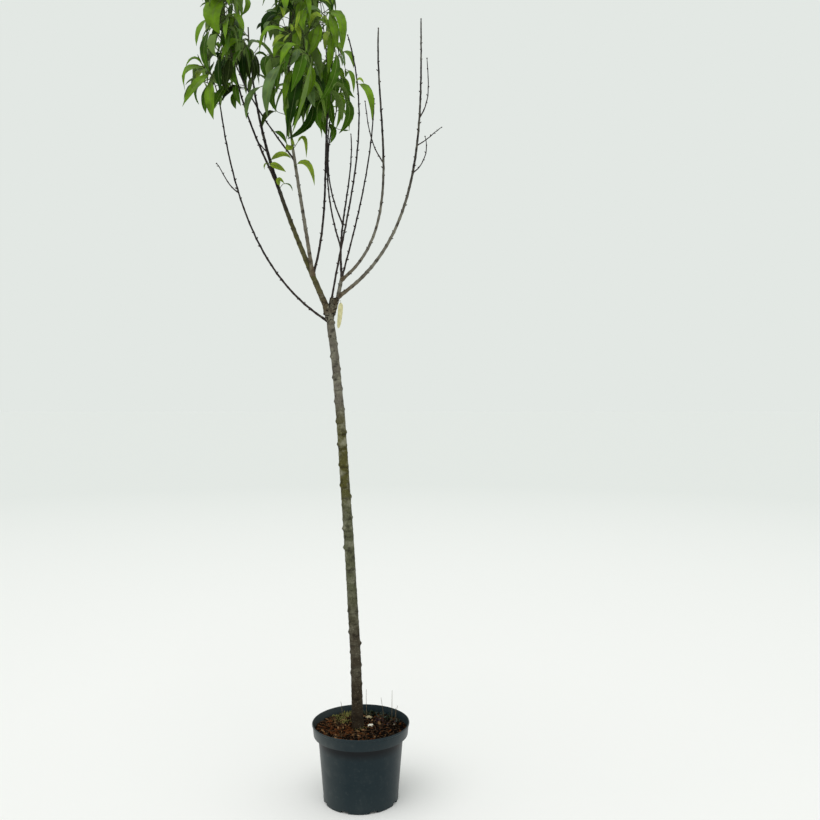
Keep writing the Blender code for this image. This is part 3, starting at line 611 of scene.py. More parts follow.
def carried_frames(centres):
    """Course, side and across vectors at each centre of a line, carried on without twist."""
    course = (centres[1] - centres[0]).normalized()
    side = course.orthogonal().normalized()
    frames = []
    for i in range(len(centres)):
        before = centres[max(i - 1, 0)]
        after = centres[min(i + 1, len(centres) - 1)]
        turn = course.rotation_difference((after - before).normalized())
        side = turn @ side
        course = turn @ course
        frames.append((course, side, course.cross(side)))
    return frames


def shape_tube(piece, centres, reach):
    """Bend a ringed tube along centres; reach gives its radius from ring numbers and angles."""
    points = points_of(piece)
    rings = np.round(points[:, 2] * (len(centres) - 1)).astype(int)
    angles = np.arctan2(points[:, 1], points[:, 0])
    frames = np.array([[vector[:] for vector in trio] for trio in carried_frames(centres)])
    middles = np.array([centre[:] for centre in centres])
    outward = frames[rings, 1] * np.cos(angles)[:, None] + frames[rings, 2] * np.sin(angles)[:, None]
    move_points(piece, middles[rings] + outward * reach(rings, angles)[:, None])
    return rings, angles


def draw_tubes(name, lines, roundness=1):
    """One mesh of closed tubes, each given by its points and its radius at each of them."""
    deselect()
    bpy.ops.curve.primitive_bezier_curve_add()
    piece = settle(name)
    curve = piece.data
    curve.splines.clear()
    curve.dimensions = "3D"
    curve.bevel_depth = 1
    curve.bevel_resolution = roundness
    curve.use_fill_caps = True
    for points, radii in lines:
        spline = curve.splines.new("POLY")
        spline.points.add(len(points) - 1)
        spline.points.foreach_set("co", [number for point in points for number in (*point, 1)])
        spline.points.foreach_set("radius", radii)
    bpy.ops.object.convert(target="MESH")
    mend(piece)
    smooth(piece, 50)
    return piece


def copies(name, shapes, faces, finishes):
    """One mesh of many shapes with the same faces: a point array and face finishes for each."""
    count, width = len(shapes), len(shapes[0])
    corners = np.concatenate([np.array(face) for face in faces])
    sizes = np.array([len(face) for face in faces])
    starts = np.cumsum(sizes) - sizes
    steps = np.arange(count)[:, None]
    mesh = bpy.data.meshes.new(name)
    mesh.vertices.add(count * width)
    mesh.vertices.foreach_set("co", np.concatenate(shapes).astype(np.float32).ravel())
    mesh.loops.add(count * len(corners))
    mesh.loops.foreach_set("vertex_index", (steps * width + corners).ravel().astype(np.int32))
    mesh.polygons.add(count * len(faces))
    mesh.polygons.foreach_set("loop_start", (steps * len(corners) + starts).ravel().astype(np.int32))
    mesh.polygons.foreach_set("material_index", np.concatenate(finishes).astype(np.int32))
    mesh.update(calc_edges=True)
    mesh.validate()
    piece = bpy.data.objects.new(name, mesh)
    bpy.context.collection.objects.link(piece)
    return piece


def template(piece):
    """Points and faces of a small model that is about to be copied, which is then removed."""
    points = points_of(piece)
    faces = [tuple(face.vertices) for face in piece.data.polygons]
    bpy.data.objects.remove(piece, do_unlink=True)
    return points, faces


def placed(points, spot, ahead, out, size):
    """Template points with their Z along a direction and their X near another, at a spot."""
    top = ahead.normalized()
    right = (out - top * out.dot(top)).normalized()
    axes = np.array([right[:], top.cross(right)[:], top[:]])
    return (points * np.asarray(size)) @ axes + np.array(spot[:])


def drop_blank(segments, rings, pointed):
    """Small round body whose far end is drawn out to a blunt point."""
    deselect()
    bpy.ops.mesh.primitive_uv_sphere_add(segments=segments, ring_count=rings, radius=1, location=(0, 0, 0))
    piece = settle("blank")
    points = points_of(piece)
    rise = (points[:, 2] + 1) / 2
    points[:, :2] *= (1 - pointed * rise ** 2)[:, None]
    points[:, 2] = rise
    move_points(piece, points)
    return template(piece)


def chip_blank():
    """Small flat chip with six uneven sides."""
    deselect()
    bpy.ops.mesh.primitive_cylinder_add(vertices=6, radius=0.5, depth=1, location=(0, 0, 0))
    piece = settle("blank")
    points = points_of(piece)
    points[:, 0] += 0.10 * np.sin(points[:, 1] * 9)
    points[points[:, 2] > 0, :2] *= 0.82
    move_points(piece, points)
    return template(piece)


# Materials

class Finish:
    """A material in the making: its Principled shader and helpers that add nodes to it."""

    def __init__(self, name, roughness, specular=0.5):
        self.material = bpy.data.materials.new(name)
        self.material.use_nodes = True
        self.tree = self.material.node_tree
        self.shader = self.tree.nodes["Principled BSDF"]
        self.shader.inputs["Roughness"].default_value = roughness
        self.shader.inputs["Specular IOR Level"].default_value = specular
        self.coordinates = self.tree.nodes.new("ShaderNodeTexCoord").outputs["Object"]

    def node(self, kind, links=(), **settings):
        """A node with its settings, and its inputs linked or set by name."""
        made = self.tree.nodes.new(kind)
        for key, value in settings.items():
            setattr(made, key, value)
        for key, value in dict(links).items():
            self.join(value, made.inputs[key])
        return made

    def join(self, value, socket):
        """Link an output to a socket, or set the socket's own value."""
        if isinstance(value, bpy.types.NodeSocket):
            self.tree.links.new(value, socket)
        else:
            socket.default_value = value

    def stretched(self, scale):
        """Object coordinates, scaled along each axis."""
        return self.node("ShaderNodeMapping", {"Vector": self.coordinates, "Scale": scale}).outputs["Vector"]

    def noise(self, scale, detail=4, stretch=(1, 1, 1), roughness=0.55):
        """Soft noise between 0 and 1."""
        where = self.stretched(stretch)
        return self.node("ShaderNodeTexNoise", {
            "Vector": where, "Scale": scale, "Detail": detail, "Roughness": roughness}).outputs["Fac"]

    def cells(self, scale, stretch=(1, 1, 1)):
        """Distance from the middle of scattered cells."""
        where = self.stretched(stretch)
        return self.node("ShaderNodeTexVoronoi", {"Vector": where, "Scale": scale}).outputs["Distance"]

    def band(self, value, low, high):
        """Value stretched so that low becomes 0 and high 1, and held between them."""
        return self.node("ShaderNodeMapRange", {
            "Value": value, "From Min": low, "From Max": high}, clamp=True).outputs["Result"]

    def number(self, name):
        """A number kept on the mesh's corners."""
        return self.node("ShaderNodeAttribute", attribute_name=name).outputs["Fac"]

    def place(self, axis):
        """Place along an axis."""
        return self.node("ShaderNodeSeparateXYZ", {"Vector": self.coordinates}).outputs[axis]

    def height(self):
        """Height above the ground."""
        return self.place("Z")

    def math(self, operation, a, b):
        """Two numbers put together."""
        made = self.node("ShaderNodeMath", operation=operation)
        self.join(a, made.inputs[0])
        self.join(b, made.inputs[1])
        return made.outputs["Value"]

    def times(self, a, b):
        """Two numbers multiplied."""
        return self.math("MULTIPLY", a, b)

    def plus(self, a, b):
        """Two numbers added."""
        return self.math("ADD", a, b)

    def tint(self, value, socket):
        """Link a colour to a socket, or set the socket's own colour."""
        self.join(value if isinstance(value, bpy.types.NodeSocket) else (*value, 1), socket)

    def mix(self, share, a, b):
        """Blend of two colours."""
        made = self.node("ShaderNodeMix", data_type="RGBA")
        self.join(share, made.inputs["Factor"])
        sockets = [socket for socket in made.inputs if socket.type == "RGBA"]
        for value, socket in zip((a, b), sockets):
            self.tint(value, socket)
        return next(socket for socket in made.outputs if socket.type == "RGBA")

    def ramp(self, value, *stops):
        """Colours at places along a value."""
        made = self.node("ShaderNodeValToRGB", {"Fac": value})
        elements = made.color_ramp.elements
        while len(elements) < len(stops):
            elements.new(0.5)
        for element, (place, colour) in zip(elements, sorted(stops)):
            element.position = place
            element.color = (*colour, 1)
        return made.outputs["Color"]

    def colour(self, value):
        """Set the base colour."""
        self.tint(value, self.shader.inputs["Base Color"])
        return self

    def bump(self, value, depth):
        """Raise the surface by a value, by at most this depth."""
        made = self.node("ShaderNodeBump", {"Height": value, "Distance": depth, "Strength": 1.0})
        self.join(made.outputs["Normal"], self.shader.inputs["Normal"])
        return self


def pot_finish(looks):
    """Dull dark plastic with dust low down and on the rim, dust and a painted sheen on its sides, and painted
    shade under the rim band.
    """
    made = Finish("pot_plastic", 0.36, 0.20)
    dust_and_sheen = made.band(made.noise(34, 7), 0.50, 0.80)
    low = made.band(made.height(), 0.07, 0.0)
    scuffs = made.band(made.noise(120, 4), 0.56, 0.76)
    # Lighter towards the left side and, less, the right: dust there together with a painted sheen
    left = made.band(made.place("X"), -0.030, -0.112)
    right = made.times(made.band(made.place("X"), 0.062, 0.112), 0.30)
    side = made.plus(left, right)
    side = made.times(side, made.plus(0.20, made.times(dust_and_sheen, 0.26)))
    rim = made.times(made.band(made.height(), 0.166, 0.168), 0.025)
    share = made.plus(made.times(dust_and_sheen, 0.05), made.times(low, 0.06))
    share = made.plus(made.plus(share, rim), side)
    share = made.times(share, looks.dust_and_sheen)
    tone = made.mix(share, looks.plastic[:], looks.dust_and_sheen_colour[:])
    tone = made.mix(made.times(scuffs, 0.08), tone, looks.dust_and_sheen_colour[:])
    # Painted shade: a near-black band just under the rim band, fading downwards
    below = made.band(made.height(), 0.1680, 0.1672)
    painted_shade_under_rim = made.times(made.band(made.height(), 0.136, 0.154), below)
    made.colour(made.mix(made.times(painted_shade_under_rim, 0.85), tone, shade(3, 6, 11)))
    return made.bump(made.noise(220, 3), 0.0002).material


def earth_finish(name, dark, light, scale=240):
    """Crumbly matter between two tones."""
    made = Finish(name, 0.95, 0.04)
    grain = made.noise(scale, 5)
    made.colour(made.mix(made.band(grain, 0.35, 0.65), dark, light))
    return made.bump(grain, 0.0008).material


def bark_finish(name, young, old, oldest, scar, light, relief, pale):
    """Bark that goes from young to old, with dark scars and pale breathing pores."""
    made = Finish(name, 0.60, 0.25)
    blotch = made.band(made.noise(70, 5, (1, 1, 0.6)), 0.45, 0.70)
    tone = made.ramp(made.number("age"), (0.0, young), (0.45, young), (0.66, old), (0.86, old), (1.0, oldest))
    tone = made.mix(made.times(blotch, pale), tone, light)
    dark = made.band(made.noise(130, 4, (1, 1, 0.7)), 0.52, 0.70)
    tone = made.mix(made.times(dark, 0.55), tone, scar)
    pores = made.band(made.cells(210, (1, 1, 2.2)), 0.16, 0.05)
    tone = made.mix(made.times(pores, pale * 0.7), tone, light)
    made.colour(made.mix(made.number("scar"), tone, scar))
    ridges = made.plus(made.noise(300, 4, (1, 1, 0.25)), made.times(pores, 0.6))
    return made.bump(ridges, relief).material


def trunk_finish(looks):
    """Bark of the trunk: brown at the foot, olive in the middle and grey at the top."""
    made = Finish("trunk_bark", 0.78, 0.12)
    share = made.band(made.height(), 0.18, 1.28)
    tone = made.ramp(
        share, (0.0, looks.foot[:]), (0.22, shade(64, 57, 45)),
        (0.33, looks.middle[:]), (0.50, looks.middle[:]), (0.56, looks.olive[:]), (0.70, looks.olive[:]),
        (0.76, looks.grey[:]), (0.92, looks.grey[:]), (1.0, looks.knuckle[:]))
    patch = made.band(made.noise(40, 3, (1, 1, 1.2)), 0.46, 0.66)
    weathered = made.times(made.band(made.height(), 0.20, 0.75), 0.62)
    tone = made.mix(made.times(patch, weathered), tone, looks.lichen[:])
    dark = made.band(made.noise(62, 4, (1, 1, 1.2)), 0.50, 0.68)
    tone = made.mix(made.times(dark, 0.72), tone, looks.scar[:])
    fleck = made.band(made.noise(260, 3, (1, 1, 2.0)), 0.60, 0.70)
    tone = made.mix(made.times(fleck, 0.35), tone, looks.lichen[:])
    fine = made.band(made.noise(520, 3, (1, 1, 0.22)), 0.42, 0.62)
    tone = made.mix(made.times(fine, 0.25), tone, looks.scar[:])
    made.colour(made.mix(made.number("scar"), tone, looks.scar[:]))
    ridges = made.plus(made.noise(240, 5, (1, 1, 0.6)), made.times(patch, 0.5))
    return made.bump(ridges, 0.0012).material


def leaf_finish(name, tone, second, gloss, specular=0.10):
    """Blade surface of one tone, faintly mottled."""
    made = Finish(name, gloss, specular)
    made.colour(made.mix(made.band(made.noise(38, 3), 0.34, 0.66), tone, second))
    return made.bump(made.noise(190, 3), 0.0004).material


def plain_finish(name, tone, second, roughness, scale=300):
    """Matt matter with a fine grain of a second tone."""
    made = Finish(name, roughness, 0.3)
    made.colour(made.mix(made.band(made.noise(scale, 3), 0.35, 0.65), tone, second))
    return made.bump(made.noise(scale, 3), 0.0003).material


# Properties

def colour_setting(name, text, red, green, blue):
    """A colour that a user can change."""
    return bpy.props.FloatVectorProperty(
        name=name, description=text, subtype="COLOR", size=3, min=0, max=1, default=shade(red, green, blue))


def number_setting(name, text, default, low, high, **more):
    """A number that a user can change."""
    return bpy.props.FloatProperty(name=name, description=text, default=default, min=low, max=high, **more)


def length_setting(name, text, default, low, high):
    """A length that a user can change."""
    return number_setting(name, text, default, low, high, subtype="DISTANCE", unit="LENGTH")


def count_setting(name, text, default, low, high):
    """A number of pieces that a user can change."""
    return bpy.props.IntProperty(name=name, description=text, default=default, min=low, max=high)


class PotLooks(bpy.types.PropertyGroup):
    """Colours of the pot."""
    plastic: colour_setting("Plastic", "Colour of the clean plastic", 17, 34, 40)
    # The dust colour and the dustiness also give the painted sheen on the pot's sides
    dust_and_sheen_colour: colour_setting("Dust", "Colour of the dust on the plastic", 104, 108, 104)
    dust_and_sheen: number_setting("Dustiness", "How much dust covers the pot", 1.0, 0, 2, subtype="FACTOR")


class CompostLooks(bpy.types.PropertyGroup):
    """How much lies on the compost."""
    chips: count_setting("Chips", "Number of bark chips", 2300, 100, 4000)
    fibres: count_setting("Fibres", "Number of loose fibres", 260, 0, 900)
    chip_length: length_setting("Chip length", "Length of the longest chips", 0.015, 0.004, 0.05)


class BarkLooks(bpy.types.PropertyGroup):
    """Colours and relief of the bark."""
    foot: colour_setting("Foot", "Bark at the trunk's foot", 50, 40, 28)
    middle: colour_setting("Middle", "Bark half way up the trunk", 86, 88, 66)
    olive: colour_setting("Olive", "Olive bark of the trunk and the left bough", 82, 80, 40)
    grey: colour_setting("Grey", "Grey bark of the trunk's top and the old boughs", 108, 103, 92)
    knuckle: colour_setting("Knuckle", "Brown bark where the boughs fork", 90, 76, 54)
    lichen: colour_setting("Lichen", "Pale patches on the bark", 158, 156, 136)
    scar: colour_setting("Scar", "Scars and the shade in the cracks", 26, 20, 14)
    shoot: colour_setting("Shoot", "Young purple-brown shoots", 24, 13, 15)
    old_shoot: colour_setting("Old shoot", "Lower stretches of the shoots", 38, 25, 22)
    node_rise: length_setting("Node rise", "How far the trunk's knobs stand out", 0.0046, 0, 0.008)
    relief: length_setting("Relief", "Depth of the bark's uneven surface", 0.0010, 0, 0.003)


class LeafLooks(bpy.types.PropertyGroup):
    """Colours of the leaves and how closely they grow."""
    deep: colour_setting("Deep", "Old dark leaves", 26, 52, 4)
    mid: colour_setting("Mid", "Most leaves", 58, 90, 12)
    fresh: colour_setting("Fresh", "Bright leaves", 94, 128, 18)
    young: colour_setting("Young", "Youngest yellow-green leaves", 126, 150, 36)
    bronze: colour_setting("Bronze", "Brownish leaves", 38, 52, 14)
    dull: colour_setting("Dull", "Greyish green leaves with a bloom", 80, 106, 52)
    under: colour_setting("Under side", "Paler under side of the blades", 98, 122, 58)
    rib: colour_setting("Midrib", "Midrib of the blades", 104, 126, 46)
    step: length_setting("Leaf step", "Space between leaves on a fine twig", 0.012, 0.006, 0.04)


class StageLooks(bpy.types.PropertyGroup):
    """Floor and light."""
    floor: colour_setting("Floor", "Pale floor", 244, 243, 242)
    sky: colour_setting("Surroundings", "Light from all round", 227, 232, 228)
    ambient: number_setting("Ambient", "Light from all round", 0.80, 0, 4)
    key: number_setting("Key light", "Strength of the soft light from the upper left", 1.25, 0, 20)


# Courses of the wood, as in the source

def smooth_step(share):
    """Ease from 0 to 1 with level ends."""
    return share * share * (3 - 2 * share)


def trunk_at(height):
    """Axis point and diameter of the trunk at a height."""
    pairs = list(zip(TRUNK_STATIONS, TRUNK_STATIONS[1:]))
    low, high = next((pair for pair in pairs if height <= pair[1][0]), pairs[-1])
    share = min(1, max(0, (height - low[0]) / (high[0] - low[0])))
    x, y = (low[k] + (high[k] - low[k]) * share for k in (1, 2))
    diameter = low[3] + (high[3] - low[3]) * smooth_step(share)
    return Vector((x, y, height)), diameter


def bezier(corners, share):
    """Point of a cubic curve."""
    a, b, c, d = corners
    rest = 1 - share
    return a * rest ** 3 + b * 3 * share * rest ** 2 + c * 3 * share ** 2 * rest + d * share ** 3


def course_at(corners, share):
    """Unit vector along a cubic curve at a share of the way."""
    return (bezier(corners, min(1, share + COURSE_STEP)) - bezier(corners, share - COURSE_STEP)).normalized()


def leaning(degrees):
    """Unit vector that leans to the right from the vertical by some degrees."""
    angle = math.radians(degrees)
    return Vector((math.sin(angle), 0, math.cos(angle)))


def limb_corners(name):
    """The four corners of a limb's curve, from its foot on its parent to its tip."""
    limb = LIMBS[name]
    foot = limb_point(limb.parent, limb.along)
    tip = Vector(limb.tip)
    span = tip - foot
    pull = PULL * math.hypot(span.x, span.z)
    third = Vector((0, span.y / 3, 0))
    return foot, foot + leaning(limb.springs) * pull + third, tip - leaning(limb.arrives) * pull - third, tip


def limb_point(name, share):
    """Point on the axis of the trunk or a limb, from 0 at its foot to 1 at its fork or tip."""
    if name == "trunk":
        foot = TRUNK_STATIONS[0][0]
        return trunk_at(foot + (TRUNK_FORK_HEIGHT - foot) * share)[0]
    return bezier(limb_corners(name), share)


def limb_diameter(name, share):
    """Diameter of a limb along its length."""
    limb = LIMBS[name]
    return limb.foot_diameter + (limb.tip_diameter - limb.foot_diameter) * share ** TAPER_POWER


def curve_points(corners, step):
    """Points along a cubic curve, about a step apart, and each one's share of the way."""
    count = max(3, math.ceil((corners[3] - corners[0]).length / step))
    shares = [i / count for i in range(count + 1)]
    return [bezier(corners, share) for share in shares], shares


# Pot and compost

def pot_wall_radius(height):
    """Outer radius of the pot's tapered body at a height."""
    return POT_BASE_RADIUS + (POT_NECK_RADIUS - POT_BASE_RADIUS) * height / (POT_HEIGHT - RIM_BAND_HEIGHT)


def build_pot(looks):
    """Pot with its lip and rim band, and the notches that drain it cut round the edge of its floor."""
    band = POT_HEIGHT - RIM_BAND_HEIGHT
    profile = (
        (0, POT_HOLLOW),
        (POT_BASE_RADIUS - FOOT_WIDTH - 0.001, POT_HOLLOW),
        (POT_BASE_RADIUS - FOOT_WIDTH, 0),
        (POT_BASE_RADIUS - POT_EDGE, 0),
        (POT_BASE_RADIUS, POT_EDGE),
        (pot_wall_radius(0.0105), 0.0105),
        (pot_wall_radius(0.012) - 0.0005, 0.012),
        (POT_NECK_RADIUS, band - 0.004),
        (POT_NECK_RADIUS, band + SKIRT_HOLLOW - 0.002),
        (POT_NECK_RADIUS + 0.002, band + SKIRT_HOLLOW),
        (RIM_LOW_RADIUS - 0.0035, band + SKIRT_HOLLOW),
        (RIM_LOW_RADIUS - 0.0028, band + 0.0006),
        (RIM_LOW_RADIUS - 0.0022, band),
        (RIM_LOW_RADIUS - 0.0008, band),
        (RIM_LOW_RADIUS, band + POT_EDGE),
        (RIM_TOP_RADIUS - 0.0016, POT_HEIGHT - LIP_DROP),
        (RIM_TOP_RADIUS - 0.0003, POT_HEIGHT - LIP_DROP + 0.0012),
        (RIM_TOP_RADIUS, POT_HEIGHT - POT_EDGE * 1.4),
        (RIM_TOP_RADIUS - 0.0007, POT_HEIGHT - 0.0004),
        (RIM_TOP_RADIUS - POT_WALL / 2, POT_HEIGHT),
        (RIM_TOP_RADIUS - POT_WALL + 0.0004, POT_HEIGHT - 0.0005),
        (RIM_TOP_RADIUS - POT_WALL, POT_HEIGHT - POT_EDGE),
        (RIM_LOW_RADIUS - POT_WALL, band + SKIRT_HOLLOW + POT_WALL),
        (POT_NECK_RADIUS - POT_WALL, band + SKIRT_HOLLOW + POT_WALL),
        (pot_wall_radius(POT_FLOOR) - POT_WALL, POT_FLOOR),
        (0, POT_FLOOR),
    )
    pot = turned("nursery_pot", profile, POT_SIDES)
    for i in range(NOTCH_COUNT):
        turn = (i + 0.5) * math.tau / NOTCH_COUNT
        spot = (POT_BASE_RADIUS * math.cos(turn), POT_BASE_RADIUS * math.sin(turn), 0)
        deselect()
        bpy.ops.mesh.primitive_cube_add(size=1, location=spot, rotation=(0, 0, turn), scale=NOTCH_SIZE)
        cutter = settle("notch")
        choose(pot)
        step = pot.modifiers.new("Notch", "BOOLEAN")
        step.operation = "DIFFERENCE"
        step.solver = "EXACT"
        step.object = cutter
        bpy.ops.object.modifier_apply(modifier=step.name)
        bpy.data.objects.remove(cutter, do_unlink=True)
    smooth(pot, 34)
    coat(pot, pot_finish(looks))
    dress(pot, "pot", "pot")


def heap_height(x, y):
    """Height of the compost's uneven top."""
    radius = math.hypot(x, y)
    fall = max(0.0, (radius - COMPOST_FLAT_RADIUS) / (COMPOST_EDGE_RADIUS - COMPOST_FLAT_RADIUS))
    swells = noise.noise(Vector((x * 45, y * 45, 3.1))) * 0.0022
    rough = swells + noise.noise(Vector((x * 160, y * 160, 9.7))) * 0.0012
    return COMPOST_TOP_HEIGHT - COMPOST_SINK - (COMPOST_TOP_HEIGHT - COMPOST_EDGE_HEIGHT) * fall + rough


def build_compost(looks):
    """Compost that fills the pot up to a low uneven heap."""
    band = POT_HEIGHT - RIM_BAND_HEIGHT
    inner = POT_WALL + GAP
    edge = RIM_LOW_RADIUS - inner + 0.0016
    side = [
        (0, POT_FLOOR + GAP),
        (pot_wall_radius(POT_FLOOR) - inner, POT_FLOOR + GAP),
        (POT_NECK_RADIUS - inner, band + SKIRT_HOLLOW + POT_WALL + GAP),
        (RIM_LOW_RADIUS - inner, band + SKIRT_HOLLOW + POT_WALL + GAP),
    ]
    top = [(edge * (1 - i / 44), COMPOST_EDGE_HEIGHT) for i in range(44)]
    heap = turned("compost_heap", side + top + [(0, COMPOST_EDGE_HEIGHT)], 120)
    points = points_of(heap)
    for point in points:
        if point[2] > COMPOST_EDGE_HEIGHT - 0.001:
            point[2] = heap_height(point[0], point[1])
    move_points(heap, points)
    smooth(heap, 60)
    coat(heap, earth_finish("compost_earth", shade(10, 6, 4), shade(34, 20, 12)))
    dress(heap, "compost", "compost")


CHIP_TONES = (
    ("chip_red", (98, 58, 30), (46, 24, 12)),
    ("chip_brown", (80, 58, 36), (34, 24, 15)),
    ("chip_dark", (20, 14, 10), (9, 6, 5)),
    ("chip_tan", (142, 110, 76), (92, 66, 42)),
)
PALE_CHIPS = (
    ("chip_white", (0.023, 0.004), 0.019, 0.013, (240, 236, 220), (222, 216, 196)),
    ("chip_yellow", (0.018, 0.062), 0.020, 0.014, (176, 166, 134), (136, 124, 94)),
    ("chip_grey", (0.085, 0.020), 0.006, 0.004, (150, 144, 130), (120, 112, 98)),
)


def scatter_spot(rng, limit):
    """A place on the compost that is clear of the trunk's foot."""
    while True:
        x, y = rng.uniform(-limit, limit), rng.uniform(-limit, limit)
        if math.hypot(x, y) < limit and math.hypot(x - FOOT_PLACE[0], y - FOOT_PLACE[1]) > FOOT_CLEAR:
            return x, y


def build_litter(looks):
    """Bark chips, fibres, dry stalks, moss and small weeds on the compost."""
    rng = random.Random(LITTER_SEED)
    points, faces = chip_blank()
    shapes, finishes = [], []
    for i in range(looks.chips):
        length = looks.chip_length * (0.25 + 0.75 * rng.random() ** 2.2)
        width = length * rng.uniform(0.35, 0.7)
        thick = max(0.0010, length * rng.uniform(0.10, 0.26))
        x, y = scatter_spot(rng, CHIP_REACH - length * 0.55)
        tilt = Vector((rng.gauss(0, 0.45), rng.gauss(0, 0.45), 1))
        turn = rng.uniform(0, math.tau)
        height = heap_height(x, y) + thick * rng.uniform(0.1, 0.9)
        along = Vector((math.cos(turn), math.sin(turn), 0))
        shapes.append(placed(points, Vector((x, y, height)), tilt, along, (length, width, thick)))
        right = (x + 0.5 * y) / 0.134
        dark = 2.6 + 12 * max(0, right + 0.45) + 60 * max(0, -0.03 - y)
        tone = rng.choices(range(4), weights=(3.2 - 2.2 * right, 2.0, dark, 0.8 - 0.6 * right))[0]
        finishes.append(np.full(len(faces), tone))
    chips = copies("compost_chips", shapes, faces, finishes)
    coat(chips, *[earth_finish(name, shade(*dark), shade(*light), 400) for name, light, dark in CHIP_TONES])
    dress(chips, "compost")

    shapes, finishes = [], []
    for i, (name, spot, length, width, _, _) in enumerate(PALE_CHIPS):
        spot = Vector((*spot, heap_height(*spot) + 0.003))
        tilt = Vector((rng.gauss(0, 0.2), rng.gauss(0, 0.2) - 0.3, 1))
        along = Vector((1, rng.uniform(-0.5, 0.5), 0))
        shapes.append(placed(points, spot, tilt, along, (length, width, width * 0.45)))
        finishes.append(np.full(len(faces), i))
    pale = copies("compost_pale_chips", shapes, faces, finishes)
    coat(pale, *[
        earth_finish(name, shade(*dark), shade(*light), 300) for name, _, _, _, light, dark in PALE_CHIPS])
    dress(pale, "compost")

    lines = []
    for i in range(looks.fibres):
        x, y = scatter_spot(rng, FIBRE_REACH)
        turn = rng.uniform(0, math.tau)
        length = rng.uniform(0.006, 0.020)
        start = Vector((x, y, heap_height(x, y) + rng.uniform(0.0015, 0.004)))
        ahead = Vector((math.cos(turn), math.sin(turn), rng.uniform(-0.15, 0.25))) * length
        bow = Vector((rng.gauss(0, 1), rng.gauss(0, 1), rng.uniform(0, 0.6))) * length * 0.12
        line = [start + ahead * share + bow * 4 * share * (1 - share) for share in (0, 0.33, 0.67, 1)]
        line = [Vector((p.x, p.y, max(p.z, heap_height(p.x, p.y) + 0.0008))) for p in line]
        lines.append((line, [rng.uniform(0.00025, 0.0006)] * 4))
    fibres = draw_tubes("compost_fibres", lines, 0)
    coat(fibres, plain_finish("fibre", shade(92, 70, 46), shade(48, 34, 22), 0.9))
    dress(fibres, "compost")

    lines = []
    for x, y, height in STALKS:
        foot = Vector((x, y, heap_height(x, y) - 0.004))
        top = Vector((x + rng.uniform(-0.008, 0.008), y + rng.uniform(-0.005, 0.005), height))
        bow = Vector((rng.uniform(-0.003, 0.003), 0, 0))
        line = [foot.lerp(top, share) + bow * 4 * share * (1 - share) for share in (0, 0.25, 0.5, 0.75, 1)]
        lines.append((line, [0.0008, 0.0007, 0.0006, 0.0005, 0.0004]))
    stalks = draw_tubes("dry_stalks", lines, 1)
    coat(stalks, plain_finish("dry_stalk", shade(128, 116, 92), shade(88, 76, 56), 0.85))
    dress(stalks, "compost")

    blade, blade_faces = drop_blank(6, 4, 0.85)
    shapes, finishes = [], []
    for x, y, spread, count, tone, size in WEEDS:
        for _ in range(count):
            px, py = x + rng.gauss(0, spread), y + rng.gauss(0, spread)
            if math.hypot(px, py) > WEED_REACH:
                continue
            ahead = Vector((rng.gauss(0, 0.8), rng.gauss(0, 0.8), 1))
            spot = Vector((px, py, heap_height(px, py) + 0.001))
            length = size * rng.uniform(0.6, 1.3)
            side = Vector((rng.gauss(0, 1), rng.gauss(0, 1), 0.01))
            shapes.append(placed(blade, spot, ahead, side, (length * 0.22, length * 0.06, length)))
            finishes.append(np.full(len(blade_faces), tone))
    weeds = copies("moss_and_weeds", shapes, blade_faces, finishes)
    smooth(weeds)
    coat(
        weeds, plain_finish("moss", shade(128, 124, 66), shade(82, 84, 40), 0.9),
        plain_finish("weed_green", shade(40, 52, 28), shade(24, 34, 18), 0.6),
        plain_finish("weed_blue", shade(52, 64, 54), shade(30, 40, 34), 0.6),
        plain_finish("weed_purple", shade(60, 34, 44), shade(36, 20, 26), 0.6))
    dress(weeds, "compost")


# Dry stalks: x, y and the height of the tip
STALKS = (
    (0.012, 0.080, 0.252), (0.057, 0.080, 0.233), (0.078, 0.080, 0.250),
    (0.090, 0.070, 0.214), (0.086, 0.060, 0.212), (-0.054, 0.080, 0.222),
)
# Moss and weeds: x, y, spread, number of blades, tone and size
WEEDS = (
    (-0.052, 0.075, 0.01, 90, 0, 0.008), (-0.071, 0.08, 0.008, 50, 0, 0.007),
    (-0.046, 0.036, 0.008, 80, 0, 0.007), (-0.036, 0.095, 0.008, 60, 0, 0.008),
    (-0.058, 0.05, 0.007, 50, 0, 0.007), (-0.004, -0.022, 0.008, 30, 0, 0.006),
    (0.02, 0.096, 0.01, 26, 1, 0.012), (0.05, 0.09, 0.008, 26, 2, 0.012),
    (0.04, 0.041, 0.006, 16, 3, 0.01), (0.073, 0.07, 0.01, 26, 1, 0.01),
    (-0.02, 0.09, 0.006, 18, 0, 0.009), (0.088, 0.045, 0.008, 18, 2, 0.009),
    (0.06, 0.02, 0.012, 18, 3, 0.007),
)


# Trunk

def trunk_nodes():
    """Height, bearing and strength of the knobs up the trunk, which stand out to either side."""
    foot = TRUNK_STATIONS[0][0]
    count = int((LAST_NODE - foot) / (NODE_STEP / 2))
    rng = random.Random(NODE_SEED)
    nodes = []
    for i in range(1, count + 1):
        bearing = (i % 2) * math.pi + rng.uniform(-0.9, 0.9)
        level = foot + i * NODE_STEP / 2 + rng.uniform(-0.005, 0.005)
        nodes.append((level, bearing, rng.uniform(0.45, 1.0)))
    return nodes


